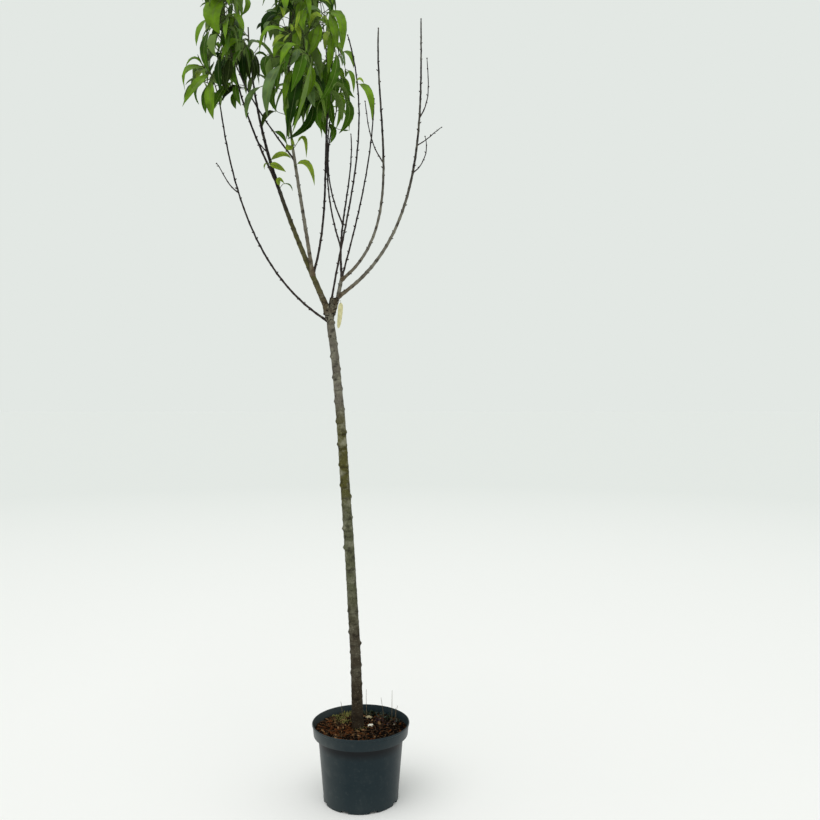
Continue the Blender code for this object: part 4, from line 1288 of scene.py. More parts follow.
def build_trunk(looks):
    """Trunk with its knobs, scars and uneven bark, from inside the compost up to its fork."""
    count = round((BARK_TOP - BARK_FOOT) / TRUNK_RING_STEP)
    heights = np.linspace(BARK_FOOT, BARK_TOP, count + 1)
    stations = [trunk_at(max(height, TRUNK_STATIONS[0][0])) for height in heights]
    centres = [Vector((centre.x, centre.y, height)) for (centre, _), height in zip(stations, heights)]
    radii = np.array([diameter / 2 for _, diameter in stations])
    knob = np.clip((heights - 1.204) / 0.03, 0, 1)
    radii = radii * (1 - 0.36 * knob) * (1 - 0.13 * np.clip((0.207 - heights) / 0.02, 0, 1))
    radii[-3:] *= (0.9, 0.7, 0.4)
    nodes = trunk_nodes()
    trunk = ringed_tube("trunk_bark", TRUNK_SIDES, count + 1)
    scars = {}

    def reach(rings, angles):
        height = heights[rings]
        radius = radii[rings]
        rise = np.zeros(len(rings))
        scar = np.zeros(len(rings))
        for level, bearing, strength in nodes:
            up = height - level
            near = np.abs(up) < 0.03
            turn = (angles - bearing + math.pi) % math.tau - math.pi
            across = turn * radius
            bump = np.exp(-(up / 0.0048) ** 2 - (across / 0.0062) ** 2)
            crater = np.exp(-((up - 0.001) / 0.0020) ** 2 - (across / 0.0028) ** 2)
            slope = up + across * 0.10
            ridge = np.exp(-(slope / 0.0035) ** 2)
            groove = np.exp(-((slope + 0.0058) / 0.0011) ** 2)
            relief = looks.node_rise * bump - 0.0010 * crater + 0.0006 * ridge - 0.0005 * groove
            rise += near * strength * relief
            scar = np.maximum(scar, near * np.maximum(crater, 0.60 * groove) * (0.35 + 0.65 * strength))
        flare = 0.0006 * np.exp(-((height - 0.186) / 0.010) ** 2) * (1 + 0.5 * np.cos(3 * angles + 0.4))
        scars["values"] = scar
        return radius + rise + flare

    shape_tube(trunk, centres, reach)
    paint(trunk, "scar", scars["values"])
    roughen(trunk, looks.relief * 1.6, 0.012, 3)
    roughen(trunk, looks.relief * 0.5, 0.003, 1)
    smooth(trunk, 60)
    finish = trunk_finish(looks)
    coat(trunk, finish)
    dress(trunk, "trunk_bark", "trunk")
    build_pores(nodes)
    build_knuckle(looks, finish)


# Knuckle of the fork: callus and stub as points and their radii
CALLUS = ((-0.083, -0.009, 1.234), (-0.080, -0.011, 1.244)), (0.0108, 0.0100)
STUB = ((-0.074, 0.000, 1.238), (-0.068, -0.004, 1.258), (-0.0655, -0.005, 1.279)), (0.0118, 0.0114, 0.0104)
STUB_TOP = Vector((-0.0655, -0.004, 1.281))
# Middle of the painted shade in the fork's crease
FORK_CREASE = Vector((-0.079, -0.010, 1.257))
KNUCKLE_VOXEL = 0.0011
TAG_TOP = (-0.048, -0.013, 1.272)
TAG_LENGTH = 0.064
TAG_WIDTH = 0.0125
TIE_RADIUS = 0.0007


def limb_foot(name, reach, gain):
    """Points and radii of a limb's first stretch, thicker by a gain at its very foot."""
    share = reach / limb_length(name)
    shares = [share * i / 5 for i in range(6)]
    radii = [limb_diameter(name, s) / 2 * (1 + gain * (1 - s / share) ** 2) for s in shares]
    return [limb_point(name, s) for s in shares], radii


def build_tag():
    """Faded blank tag that hangs beside the fork on a thin tie."""
    deselect()
    bpy.ops.mesh.primitive_grid_add(x_subdivisions=8, y_subdivisions=24, size=1, location=(0, 0, 0))
    tag = settle("blank_tag")
    points = points_of(tag)
    along = points[:, 1] + 0.5
    width = TAG_WIDTH * np.sqrt(np.clip(1 - (2 * along - 1) ** 6, 0.05, 1)) * (1 - 0.35 * (1 - along) ** 2)
    across = points[:, 0] * width
    bow = 0.004 * np.sin(along * math.pi) + across ** 2 * 60
    top = Vector(TAG_TOP)
    right = top.x + across - 0.006 * (1 - along) ** 2
    height = top.z - 0.006 - TAG_LENGTH * (1 - along)
    move_points(tag, np.stack([right, top.y - bow, height], axis=1))
    step = tag.modifiers.new("Thickness", "SOLIDIFY")
    step.thickness = 0.0006
    step.offset = 0
    apply_all(tag)
    mend(tag)
    smooth(tag, 40)
    coat(tag, plain_finish("faded_tag", shade(214, 208, 160), shade(190, 184, 138), 0.6, 120))
    dress(tag, "pot")
    knot = limb_point("right_spur", 0.30)
    sag = knot.lerp(top, 0.5) - Vector((0, 0.006, 0))
    line = [knot, sag, top, top - Vector((0, 0.0012, 0.009))]
    tie = draw_tubes("tag_tie", [(line, [TIE_RADIUS] * 4)], 1)
    coat(tie, plain_finish("tie", shade(176, 176, 160), shade(150, 150, 136), 0.6))
    dress(tie, "pot")


def build_knuckle(looks, finish):
    """Knuckle where the boughs leave the trunk, grown together over an old cut."""
    low = [trunk_at(height) for height in (1.188, 1.205, 1.220, 1.236, 1.252)]
    trunk = [centre for centre, _ in low], [0.0094, 0.0092, 0.0090, 0.0132, 0.0128]
    feet = [limb_foot("left_bough", 0.095, 0.14), limb_foot("right_spur", 0.050, 0.30)]
    feet += [limb_foot("low_left_bough", 0.030, 0.6), limb_foot("front_bough", 0.034, 0.6)]
    knuckle = draw_tubes("fork_knuckle", [trunk, CALLUS, STUB, *feet], 4)
    step = knuckle.modifiers.new("Grow together", "REMESH")
    step.mode = "VOXEL"
    step.voxel_size = KNUCKLE_VOXEL
    step = knuckle.modifiers.new("Soften", "SMOOTH")
    step.factor = 0.5
    step.iterations = 7
    apply_all(knuckle)
    roughen(knuckle, 0.0022, 0.009, 3)
    roughen(knuckle, 0.0007, 0.003, 1)
    points = points_of(knuckle)
    cut = np.exp(-(np.linalg.norm(points - np.array(STUB_TOP[:]), axis=1) / 0.024) ** 4)
    # Painted shade in the crease where the boughs fork, kept in the scar number
    painted_crease_shade = np.exp(-(np.linalg.norm(points - np.array(FORK_CREASE[:]), axis=1) / 0.009) ** 2)
    cracks = np.array([noise.noise(Vector(point) * 190) for point in points])
    paint(knuckle, "scar", np.clip(cut * 0.60 + painted_crease_shade * 0.8 + np.clip(cracks * 3.4 - 0.4, 0, 0.85), 0, 1))
    smooth(knuckle, 60)
    coat(knuckle, finish)
    dress(knuckle, "trunk_bark")


def build_pores(nodes):
    """Pale breathing pores that lie across the trunk's bark."""
    rng = random.Random(PORE_SEED)
    points, faces = drop_blank(8, 4, 0.0)
    shapes = []
    for _ in range(PORES):
        height = rng.uniform(0.22, 1.20)
        bearing = rng.uniform(0, math.tau)
        centre, diameter = trunk_at(height)
        out = Vector((math.cos(bearing), math.sin(bearing), 0))
        across = out.cross(UP)
        length = rng.uniform(0.0012, 0.0034)
        spot = centre + out * (diameter / 2 - 0.0001)
        shapes.append(placed(points - (0, 0, 0.5), spot, out, across, (length / 2, 0.0005, 0.0011)))
    pores = copies("trunk_pores", shapes, faces, [np.zeros(len(faces))] * len(shapes))
    smooth(pores)
    coat(pores, plain_finish("pore", shade(138, 128, 108), shade(98, 88, 70), 0.85))
    dress(pores, "trunk_bark")


# Limbs

def limb_slot(name):
    """Material slot of a limb."""
    if name in OLIVE_LIMBS:
        return "olive_bark"
    return "grey_bark" if name in GREY_LIMBS else "shoot_bark"


def limb_length(name):
    """Length of a limb along its curve."""
    points, _ = curve_points(limb_corners(name), 0.02)
    return sum((b - a).length for a, b in zip(points, points[1:]))


def bud_places(name):
    """Shares of the way along a limb where its buds stand, each with its bearing."""
    rng = random.Random(sum(ord(letter) for letter in name))
    length = limb_length(name)
    along, turn = rng.uniform(0.018, 0.030), rng.uniform(0, math.tau)
    places = []
    while along < length - 0.006:
        places.append((along / length, turn))
        along += rng.uniform(*BUD_STEPS)
        turn += BUD_TURN + rng.uniform(-0.3, 0.3)
    return places


def build_limb(name, finish):
    """Bark of one limb, swollen at each bud, old at its foot and young towards its tip."""
    length = limb_length(name)
    count = max(12, round(length / LIMB_RING_STEP))
    shares = np.linspace(0, 1, count + 1)
    corners = limb_corners(name)
    centres = [bezier(corners, share) for share in shares]
    frames = carried_frames(centres)
    radii = np.array([limb_diameter(name, share) / 2 for share in shares])
    places = bud_places(name)
    for share, turn in places:
        near = np.exp(-((shares - share) * length / 0.005) ** 2)
        for i in np.nonzero(near > 0.05)[0]:
            _, side, across = frames[i]
            out = side * math.cos(turn) + across * math.sin(turn)
            centres[i] = centres[i] - out * float(near[i]) * 0.0006
    parent = LIMBS[name].parent
    sunk = limb_diameter(parent, LIMBS[name].along) / 2 if parent in LIMBS else 0.011
    collar = 1 + 0.55 * np.exp(-np.maximum(0, shares * length - sunk) / 0.0055)
    if name not in LEAFY_LIMBS:
        radii[-2:] *= (0.92, 0.62)
    sides = 20 if LIMBS[name].foot_diameter > STOUT_DIAMETER else 12
    piece = ringed_tube(f"{name}_bark", sides, count + 1)
    kept = {}

    def reach(rings, angles):
        along = shares[rings]
        radius = radii[rings] * collar[rings]
        scar = np.zeros(len(rings))
        for share, turn in places:
            away = (along - share) * length
            bend = (angles - turn + math.pi) % math.tau - math.pi
            swell = np.exp(-(away / 0.0042) ** 2) * (0.35 + 0.65 * np.cos(bend / 2) ** 4)
            radius = radius + radii[rings] * 0.24 * swell
            scar = np.maximum(scar, np.exp(-((away + 0.002) / 0.0022) ** 2) * np.cos(bend / 2) ** 2 * 0.85)
        kept["scar"] = scar
        kept["age"] = np.clip(1 - along * LIMB_AGES.get(name, 1.05 if sides == 20 else 1.3), 0, 1)
        return radius

    shape_tube(piece, centres, reach)
    paint(piece, "scar", kept["scar"])
    paint(piece, "age", kept["age"])
    roughen(piece, 0.0008 if sides == 20 else 0.0005, 0.006, 2)
    smooth(piece, 60)
    coat(piece, finish)
    dress(piece, limb_slot(name), name)


def build_buds(names, label, finish):
    """Pointed dark buds at the swellings of some limbs, and clusters at their tips."""
    points, faces = drop_blank(8, 5, 0.8)
    shapes = []
    for name in names:
        corners = limb_corners(name)
        shares = [share for share, _ in bud_places(name)]
        count = max(12, round(limb_length(name) / LIMB_RING_STEP))
        line = [bezier(corners, i / count) for i in range(count + 1)]
        frames = carried_frames(line)
        rng = random.Random(len(name) * 7 + 1)
        for share, turn in bud_places(name):
            course, side, across = frames[min(count, round(share * count))]
            out = side * math.cos(turn) + across * math.sin(turn)
            radius = limb_diameter(name, share) / 2
            spot = bezier(corners, share) + out * radius * 0.75
            size = rng.uniform(0.0046, 0.0066) * (0.8 if radius < 0.002 else 1.0)
            for twin in range(1 + (rng.random() < 0.35)):
                lean = course * 0.9 + out * 0.8 + course.cross(out) * (0.5 * twin - 0.1)
                shapes.append(placed(points, spot, lean, out, (size * 0.27, size * 0.30, size)))
        if name in LEAFY_LIMBS:
            continue
        course = frames[-1][0]
        for k in range(4):
            out = frames[-1][1] * math.cos(k * 1.6) + frames[-1][2] * math.sin(k * 1.6)
            lean = course + out * (0.0 if k == 3 else 0.45)
            shapes.append(placed(points, line[-1] - course * 0.001, lean, out, (0.0013, 0.0013, 0.0048)))
    buds = copies(label, shapes, faces, [np.zeros(len(faces))] * len(shapes))
    smooth(buds)
    coat(buds, finish)
    return buds


# Leaves

LEAF_PLACES = np.array([0, 2, 3, 5, 8, 11, 14, 17, 20, 22, 24])
LEAF_WIDTHS = np.array([0.05, 0.05, 0.30, 0.64, 0.95, 1.0, 0.93, 0.76, 0.48, 0.26, 0.03])
RING_CORNERS = 7
# Face finishes round the blade: two upper faces, the midrib, two upper faces, two under faces
TOP, RIB, UNDER = 0, 1, 2
RING_KINDS = (TOP, TOP, RIB, TOP, TOP, UNDER, UNDER)


def leaf_faces():
    """Faces of one blade over its rings of corners, and the kind of each face."""
    faces, kinds = [], []
    for k in range(len(LEAF_PLACES) - 1):
        for c in range(RING_CORNERS):
            d = (c + 1) % RING_CORNERS
            low, high = k * RING_CORNERS, (k + 1) * RING_CORNERS
            faces.append((low + c, high + c, high + d, low + d))
            kinds.append(RIB if k < 2 else RING_KINDS[c])
    last = (len(LEAF_PLACES) - 1) * RING_CORNERS
    faces.append(tuple(range(RING_CORNERS)))
    faces.append(tuple(last + c for c in reversed(range(RING_CORNERS))))
    return faces, np.array(kinds + [RIB, TOP])


LEAF_FACES, LEAF_KINDS = leaf_faces()


class LeafShape(NamedTuple):
    """A bent leaf: points, courses and crossways vectors along its midrib, and its own looks."""
    spots: np.ndarray
    courses: np.ndarray
    across: np.ndarray
    width: float
    fold: float
    wave: float
    phase: float

    def length(self):
        """Length along the midrib."""
        return float(np.linalg.norm(np.diff(self.spots, axis=0), axis=1).sum())


SPINE_SHARES = np.arange(SPINE_STEPS + 1) / SPINE_STEPS


def unit(vectors):
    """Rows of an array at length 1."""
    return vectors / np.linalg.norm(vectors, axis=-1, keepdims=True)


def hanging_leaf(root, ahead, length, droop, twist, width, fold, sickle, wave, phase):
    """A leaf that starts ahead and bends down by its droop, as in the source."""
    share = (np.arange(SPINE_STEPS)[:, None] + 0.5) / SPINE_STEPS
    up = np.array(UP[:])
    start = np.array(ahead[:])
    courses = unit(start * (1 - 0.6 * share) - up * droop * share ** 0.9)
    spots = np.vstack([root[:], np.array(root[:]) + np.cumsum(courses, axis=0) * length / SPINE_STEPS])
    courses = np.vstack([courses, courses[-1]])
    side = unit(np.cross(start, up))
    across = side * math.cos(twist) + np.cross(courses, side) * math.sin(twist)
    spots = spots + across * (sickle * length * SPINE_SHARES ** 2)[:, None]
    return LeafShape(spots, courses, across, width, fold, wave, phase)


def seen_at(place, depth):
    """Point at a depth that the camera sees at a place in the photograph's frame."""
    right = (place[0] - PICTURE_MIDDLE) / PICTURE_FOCUS
    up = (PICTURE_MIDDLE - place[1]) / PICTURE_FOCUS
    cos, sin = math.cos(CAMERA_DIP), math.sin(CAMERA_DIP)
    ray = Vector((right, cos + up * sin, up * cos - sin))
    return CAMERA_PLACE + ray * ((depth - CAMERA_PLACE.y) / ray.y)


def in_picture(points):
    """Places in the photograph's frame where the camera sees some points, and their distances."""
    away = points - np.array(CAMERA_PLACE[:])
    cos, sin = math.cos(CAMERA_DIP), math.sin(CAMERA_DIP)
    far = away[:, 1] * cos - away[:, 2] * sin
    up = away[:, 1] * sin + away[:, 2] * cos
    places = PICTURE_MIDDLE + PICTURE_FOCUS * np.stack([away[:, 0], -up], axis=1) / far[:, None]
    return places, far


def seen_leaf(seen, shift, rng):
    """A leaf through the places where the photograph shows its root, bend and tip."""
    root = np.array(seen_at(seen.root, seen.depth + shift))
    bend = np.array(seen_at(seen.bend, seen.depth + shift - seen.bow))
    tip = np.array(seen_at(seen.tip, seen.depth + shift - seen.bow * 0.8))
    corner = 2 * bend - (root + tip) / 2
    share = SPINE_SHARES[:, None]
    spots = root * (1 - share) ** 2 + corner * 2 * share * (1 - share) + tip * share ** 2
    courses = unit((corner - root) * (1 - share) + (tip - corner) * share)
    flat = unit(np.cross(courses, (0, -1, 0)))
    turn = math.radians(seen.turn) + np.linspace(rng.uniform(-0.2, 0.2), rng.uniform(-0.3, 0.3), len(spots))
    across = flat * np.cos(turn)[:, None] + np.cross(courses, flat) * np.sin(turn)[:, None]
    distance = seen.depth - CAMERA_PLACE.y
    width = seen.width * distance / PICTURE_FOCUS / max(0.5, abs(math.cos(math.radians(seen.turn))))
    fold, wave, phase = math.radians(rng.uniform(12, 26)), rng.uniform(0.004, 0.010), rng.uniform(0, math.tau)
    return LeafShape(spots, courses, across, width, fold, wave, phase)


def leaf_points(leaf):
    """Corner points of a folded, curved and slightly waved blade on its stalk."""
    spots, across = leaf.spots[LEAF_PLACES], leaf.across[LEAF_PLACES]
    lift = np.cross(across, leaf.courses[LEAF_PLACES])
    share = LEAF_PLACES / SPINE_STEPS
    half = LEAF_WIDTHS * leaf.width / 2
    thick = np.interp(share, (0, 0.1, 0.6, 1), (0.0010, 0.0008, 0.0006, 0.0003))
    rib = np.minimum(half, np.interp(share, (0, 0.1, 1), (0.0010, 0.0009, 0.0003)))
    half = np.maximum(half, rib * 1.1)
    cos, sin = math.cos(leaf.fold), math.sin(leaf.fold)
    wave = leaf.wave * leaf.length() * np.sin(share * 19 + leaf.phase) * (LEAF_WIDTHS > 0.2)
    ring = np.empty((len(share), RING_CORNERS, 3))
    for corner, (reach, rise, ripple) in enumerate((
            (1, 1, 1), (0.55, 0.55, 0.2), (0, 0, 0), (0, 0, 0), (-0.55, 0.55, 0.2), (-1, 1, -1))):
        out = half * reach * cos
        up = half * rise * sin + ripple * wave
        if corner in (1, 4):
            up = up + half * 0.07
        if corner in (2, 3):
            out = rib * (1 if corner == 2 else -1)
            up = thick
        ring[:, corner] = spots + across * out[:, None] + lift * (up + 0.0001)[:, None]
    ring[:, 6] = spots - lift * thick[:, None]
    return ring.reshape(-1, 3)


def leaf_room(leaf, start=LEAF_CLEAR_START):
    """Rings of the room that a leaf needs, from a little way along it."""
    rings = []
    for share, width in ((start, 0.12), (0.2, 0.65), (0.4, 1.0), (0.7, 0.8), (1.0, 0.08)):
        step = round(share * SPINE_STEPS)
        spot, course, across = (Vector(rows[step]) for rows in (leaf.spots, leaf.courses, leaf.across))
        lift = across.cross(course)
        half = width * leaf.width / 2
        edge = lift * half * math.sin(leaf.fold)
        reach = across * (half * math.cos(leaf.fold) + LEAF_MARGIN)
        thick = lift * (0.0009 + LEAF_MARGIN)
        rings.append([spot + reach + edge, spot + thick, spot - reach + edge, spot - thick])
    return rings


OUTLINE_STARTS = np.array(CROWN_OUTLINE)
OUTLINE_ENDS = np.roll(OUTLINE_STARTS, -1, axis=0)
SKY_ROWS = np.array(SKY_PLACES)
SKETCH_STEPS = LEAF_PLACES[2:]


def in_outline(places):
    """Whether all places lie inside the crown's outline."""
    x, y = places[:, 0, None], places[:, 1, None]
    crosses = (OUTLINE_STARTS[:, 1] > y) != (OUTLINE_ENDS[:, 1] > y)
    rise = OUTLINE_ENDS[:, 1] - OUTLINE_STARTS[:, 1]
    slope = (OUTLINE_ENDS[:, 0] - OUTLINE_STARTS[:, 0]) / np.where(rise == 0, 1, rise)
    left = x < OUTLINE_STARTS[:, 0] + slope * (y - OUTLINE_STARTS[:, 1])
    return bool(((crosses & left).sum(axis=1) % 2 == 1).all())


def twig_shows(points):
    """Whether a twig leaves the crown's outline or crosses a place where the photograph shows sky."""
    places, _ = in_picture(np.array([point[:] for point in points]))
    gaps = np.linalg.norm(places[:, None] - SKY_ROWS[None, :, :2], axis=2)
    return bool((gaps < SKY_ROWS[None, :, 2]).any()) or not in_outline(places)


def keeps_outline(leaf):
    """Whether a leaf stays inside the crown's seen outline and leaves its seen sky open."""
    spots, across = leaf.spots[SKETCH_STEPS], leaf.across[SKETCH_STEPS]
    half = (LEAF_WIDTHS[2:] * leaf.width / 2)[:, None]
    places, far = in_picture(np.concatenate([spots, spots + across * half, spots - across * half]))
    count = len(spots)
    wide = np.abs(places[count:2 * count] - places[2 * count:]).max(axis=1) / 2
    gaps = np.linalg.norm(places[:count, None] - SKY_ROWS[None, :, :2], axis=2)
    if (gaps < SKY_ROWS[None, :, 2] + wide[:, None] * 0.8).any():
        return False
    return in_outline(places)


def ring_faces(rings, sides):
    """Faces over rings of points, closed at both ends."""
    faces = [
        (k * sides + c, (k + 1) * sides + c, (k + 1) * sides + (c + 1) % sides, k * sides + (c + 1) % sides)
        for k in range(rings - 1) for c in range(sides)
    ]
    last = (rings - 1) * sides
    return faces + [tuple(range(sides)), tuple(last + c for c in range(sides))]


class Standing:
    """All wood, twigs and leaves that stand already, for keeping new ones clear of them."""

    def __init__(self):
        self.wood = []
        for name in (*LIMBS, "trunk"):
            mesh = frame["nodes"][name].data
            points = [vert.co for vert in mesh.vertices]
            self.wood.append(BVHTree.FromPolygons(points, [tuple(face.vertices) for face in mesh.polygons]))
        self.trees = []
        self.centres = np.zeros((9000, 3))
        self.reaches = np.zeros(9000)

    def tree(self, rings):
        """Search tree of a shape's rings, with the ball it lies in."""
        points = [point for ring in rings for point in ring]
        middle = sum(points, Vector()) / len(points)
        reach = max((point - middle).length for point in points)
        return BVHTree.FromPolygons(points, ring_faces(len(rings), len(rings[0]))), middle, reach

    def clear(self, rings, space):
        """Search tree of a shape where it keeps to its space and touches nothing, or None."""
        if space and not all(inside(point, *space) for ring in rings for point in ring):
            return None
        tree, middle, reach = self.tree(rings)
        count = len(self.trees)
        away = np.linalg.norm(self.centres[:count] - np.array(middle[:]), axis=1)
        for i in np.nonzero(away < self.reaches[:count] + reach)[0]:
            if tree.overlap(self.trees[i]):
                return None
        if any(tree.overlap(other) for other in self.wood):
            return None
        return tree, middle, reach

    def keep(self, found):
        """Remember a shape that was placed."""
        tree, middle, reach = found
        count = len(self.trees)
        self.centres[count] = middle[:]
        self.reaches[count] = reach
        self.trees.append(tree)


def inside(point, centre, radii):
    """Whether a point lies in an egg-shaped space."""
    return sum(((point[k] - centre[k]) / radii[k]) ** 2 for k in range(3)) <= 1


def square_rings(points, radii):
    """Rings of three corners round the points of a twig, for its room."""
    rings = []
    for point, radius, (_, side, across) in zip(points, radii, carried_frames(points)):
        rings.append([
            point + (side * math.cos(turn) + across * math.sin(turn)) * radius
            for turn in (0, math.tau / 3, 2 * math.tau / 3)])
    return rings


class Foliage:
    """Twigs and leaves of one mass as they grow."""

    def __init__(self, standing, space, weights, seed):
        self.standing = standing
        self.space = space
        self.weights = weights
        self.rng = random.Random(seed)
        self.twigs = []
        self.shapes = []
        self.tones = []
        self.tone = 0

    def choose_tone(self, height):
        """A tone by chance, paler towards the top of the crown as painted light from above."""
        low, high = TOP_TONE_HEIGHTS
        share = min(1, max(0, (height - low) / (high - low)))
        weights = [a * (1 - share) + b * share for a, b in zip(self.weights, TOP_TONES)]
        return self.rng.choices(range(len(TONES)), weights=weights)[0]

    def add_twig(self, corners, diameters, must=False):
        """Add a twig if there is room for it, and say whether it was added."""
        points, shares = curve_points(corners, 0.012)
        sizes = [(diameters[0] + (diameters[1] - diameters[0]) * share) / 2 for share in shares]
        clear = [point for point in points if (point - points[0]).length > 0.008]
        if not must:
            if len(clear) < 2 or twig_shows(points):
                return False
            found = self.standing.clear(square_rings(clear, [0.0012] * len(clear)), self.space)
            if not found:
                return False
            self.standing.keep(found)
        self.twigs.append((points, sizes))
        return True

    def drop_bare_twig(self, leaves):
        """Take the last twig out again if no leaf has been added to this number of them."""
        if len(self.shapes) == leaves:
            self.twigs.pop()
            self.standing.trees.pop()
            return True
        return False

    def add_leaf(self, leaf, tone=None, must=False):
        """Add a leaf if there is room for it, and say whether it was added."""
        if not must and not keeps_outline(leaf):
            return False
        found = self.standing.clear(leaf_room(leaf), None if must else self.space)
        if not found:
            if not must:
                return False
            found = self.standing.tree(leaf_room(leaf))
        self.standing.keep(found)
        self.shapes.append(leaf_points(leaf))
        if tone is None:
            tone = self.tone
            if self.rng.random() < 0.30:
                tone = self.choose_tone(leaf.spots[0][2])
        self.tones.append(tone)
        return True

    def own_looks(self, root, ahead, length, droop, twist):
        """A leaf with its own fold, curve and waves."""
        rng = self.rng
        width = length * LEAF_ASPECT * rng.uniform(0.76, 1.0)
        return hanging_leaf(
            root, ahead, length, droop, twist, width, math.radians(rng.uniform(14, 32)),
            rng.uniform(-0.09, 0.09), rng.uniform(0.004, 0.014), rng.uniform(0, math.tau))

    def add_seen(self, name, wood):
        """Place the leaves that the photograph shows, each on a twig from the nearest wood."""
        rng = random.Random(len(name))
        for seen in (SeenLeaf(*row) for row in SEEN_LEAVES.get(name, ())):
            for shift in (0, -0.006, 0.006, -0.012, 0.012, -0.02, 0.02, 0.03):
                leaf = seen_leaf(seen, shift, rng)
                if self.standing.clear(leaf_room(leaf), None):
                    break
            else:
                leaf = seen_leaf(seen, 0, rng)
            root = Vector(leaf.spots[0])
            away = [(point - root).length + 0.8 * max(0, point.z - root.z + 0.01) for point, _ in wood]
            foot, course = wood[int(np.argmin(away))]
            span = root - foot
            if span.length > 0.004:
                ahead = Vector(leaf.courses[0])
                pull = span.length * 0.35
                leave = (course * 0.6 + span.normalized()).normalized()
                corners = (foot, foot + leave * pull, root - (ahead + UP).normalized() * pull * 0.6, root)
                size = min(TWIG_DIAMETER, 0.0014 + span.length * 0.012)
                self.add_twig(corners, (size, 0.0013), must=True)
                points = self.twigs[-1][0]
                wood += [(b, (b - a).normalized()) for a, b in zip(points, points[1:])]
            self.add_leaf(leaf, TONES.index(seen.tone), must=True)


def side_vector(ahead, turn):
    """Unit vector square to a direction, at a turn round it."""
    flat = ahead.orthogonal().normalized()
    return Matrix.Rotation(turn, 3, ahead) @ flat


def leaf_along(foliage, seed, corners, first, length, droop, step=LEAF_STEP, tries=LEAF_TRIES):
    """Deal out leaves along a shoot, each turned on from the one before."""
    reach = (corners[3] - corners[0]).length
    count = max(2, round(reach * (1 - first) / step))
    start = random.Random(seed).uniform(0, math.tau)
    for i in range(count):
        rng = random.Random(seed * 100 + i)
        share = first + (1 - first) * (i + 0.5) / count
        size = length * rng.uniform(0.78, 1.12) * (1 - 0.35 * share ** 3)
        root = bezier(corners, share)
        course = course_at(corners, share)
        for _ in range(tries):
            spread = rng.uniform(0.65, 1.2)
            twist = rng.uniform(-1.0, 1.0)
            bend = droop * rng.uniform(0.7, 1.3)
            out = side_vector(course, start + LEAF_TURN * i + rng.uniform(-0.6, 0.6))
            ahead = (course * math.cos(spread) + out * math.sin(spread)).normalized()
            if foliage.add_leaf(foliage.own_looks(root, ahead, size, bend, twist)):
                break


def wood_along(corners, first=0.0):
    """Points along a curve of wood with their courses."""
    return [(bezier(corners, first + (1 - first) * i / 30), course_at(corners, first + (1 - first) * i / 30))
            for i in range(31)]


def stem_corners(mass):
    """Curve of a mass's stem, which carries on from its bough's tip."""
    tail = limb_corners(mass.bough)
    course = (tail[3] - tail[2]).normalized()
    foot = tail[3] + course * GAP
    top = Vector(mass.top)
    pull = PULL * (top - foot).length
    return foot, foot + course * pull, top - leaning(mass.arrives) * pull, top


def twig_corners(root, course, out, reach):
    """Curve of a twig that leaves a shoot sideways and turns up along it."""
    tip = root + (out * 0.75 + course * 0.65) * reach
    return root, root + out * reach * 0.4, tip - course * reach * 0.3, tip


def grow_mass(name, foliage):
    """Grow a mass by its seeded rule, the main twigs first."""
    mass = MASSES[name]
    rng = random.Random(mass.seed)
    corners = stem_corners(mass)
    foliage.add_seen(name, wood_along(limb_corners(mass.bough), 0.6) + wood_along(corners))
    foot = corners[0] - (corners[1] - corners[0]).normalized() * 0.003
    foot_diameter = LIMBS[mass.bough].tip_diameter
    tip_diameter = CUT_STEMS.get(name, TWIG_TIP_DIAMETER)
    foliage.add_twig((foot, *corners[1:]), (foot_diameter, tip_diameter), must=True)
    turn = rng.uniform(0, math.tau)
    grown = []
    for i in range(mass.twigs):
        share = 0.08 + 0.80 * i / max(1, mass.twigs - 1)
        turn += GOLDEN_ANGLE + rng.uniform(-0.35, 0.35)
        reach = mass.twig_length * rng.uniform(0.8, 1.2)
        root = bezier(corners, share)
        course = course_at(corners, share)
        twig = twig_corners(root, course, side_vector(course, turn), reach)
        if foliage.add_twig(twig, (TWIG_DIAMETER, TWIG_TIP_DIAMETER)):
            foliage.tone = foliage.choose_tone(root.z)
            leaves = len(foliage.shapes)
            leaf_along(foliage, mass.seed * 100 + i, twig, 0.30, mass.leaf_length, mass.droop)
            if not foliage.drop_bare_twig(leaves):
                grown.append(twig)
    foliage.tone = foliage.choose_tone(corners[3].z)
    leaf_along(foliage, mass.seed * 100 + 99, corners, 0.12, mass.leaf_length, mass.droop)
    return corners, grown


def grow_fine(name, foliage, corners, grown, step):
    """Carry a mass on to finer twigs, with shorter leaves where there is still room."""
    mass = MASSES[name]
    rng = random.Random(mass.seed + 500)
    shoots = [
        (corners, 0.10 + 0.85 * i / (FINE_SHOOTS - 1), mass.twig_length * 0.8) for i in range(FINE_SHOOTS)]
    shoots += [(twig, share, mass.twig_length * 0.5) for twig in grown for share in (0.45, 0.8)]
    for i, (parent, share, reach) in enumerate(shoots):
        root = bezier(parent, share)
        course = course_at(parent, share)
        out = side_vector(course, rng.uniform(0, math.tau))
        twig = twig_corners(root, course, out, reach * rng.uniform(0.7, 1.3))
        length = mass.leaf_length * rng.uniform(0.5, 0.95)
        droop = mass.droop * rng.uniform(0.35, 1.0)
        if foliage.add_twig(twig, (TWIG_DIAMETER * 0.75, TWIG_TIP_DIAMETER * 0.8)):
            foliage.tone = foliage.choose_tone(root.z)
            leaves = len(foliage.shapes)
            leaf_along(foliage, mass.seed * 1000 + i, twig, 0.2, length, droop, step, FINE_TRIES)
            foliage.drop_bare_twig(leaves)


def grow_tuft(name, foliage):
    """Grow the few young leaves of a tuft on a limb's side."""
    tuft = TUFTS[name]
    corners = limb_corners(tuft.limb)
    low, high = max(0, tuft.along - TUFT_REACH), min(1, tuft.along + TUFT_REACH)
    shares = [low + (high - low) * i / 12 for i in range(13)]
    foliage.add_seen(name, [(bezier(corners, share), course_at(corners, share)) for share in shares])


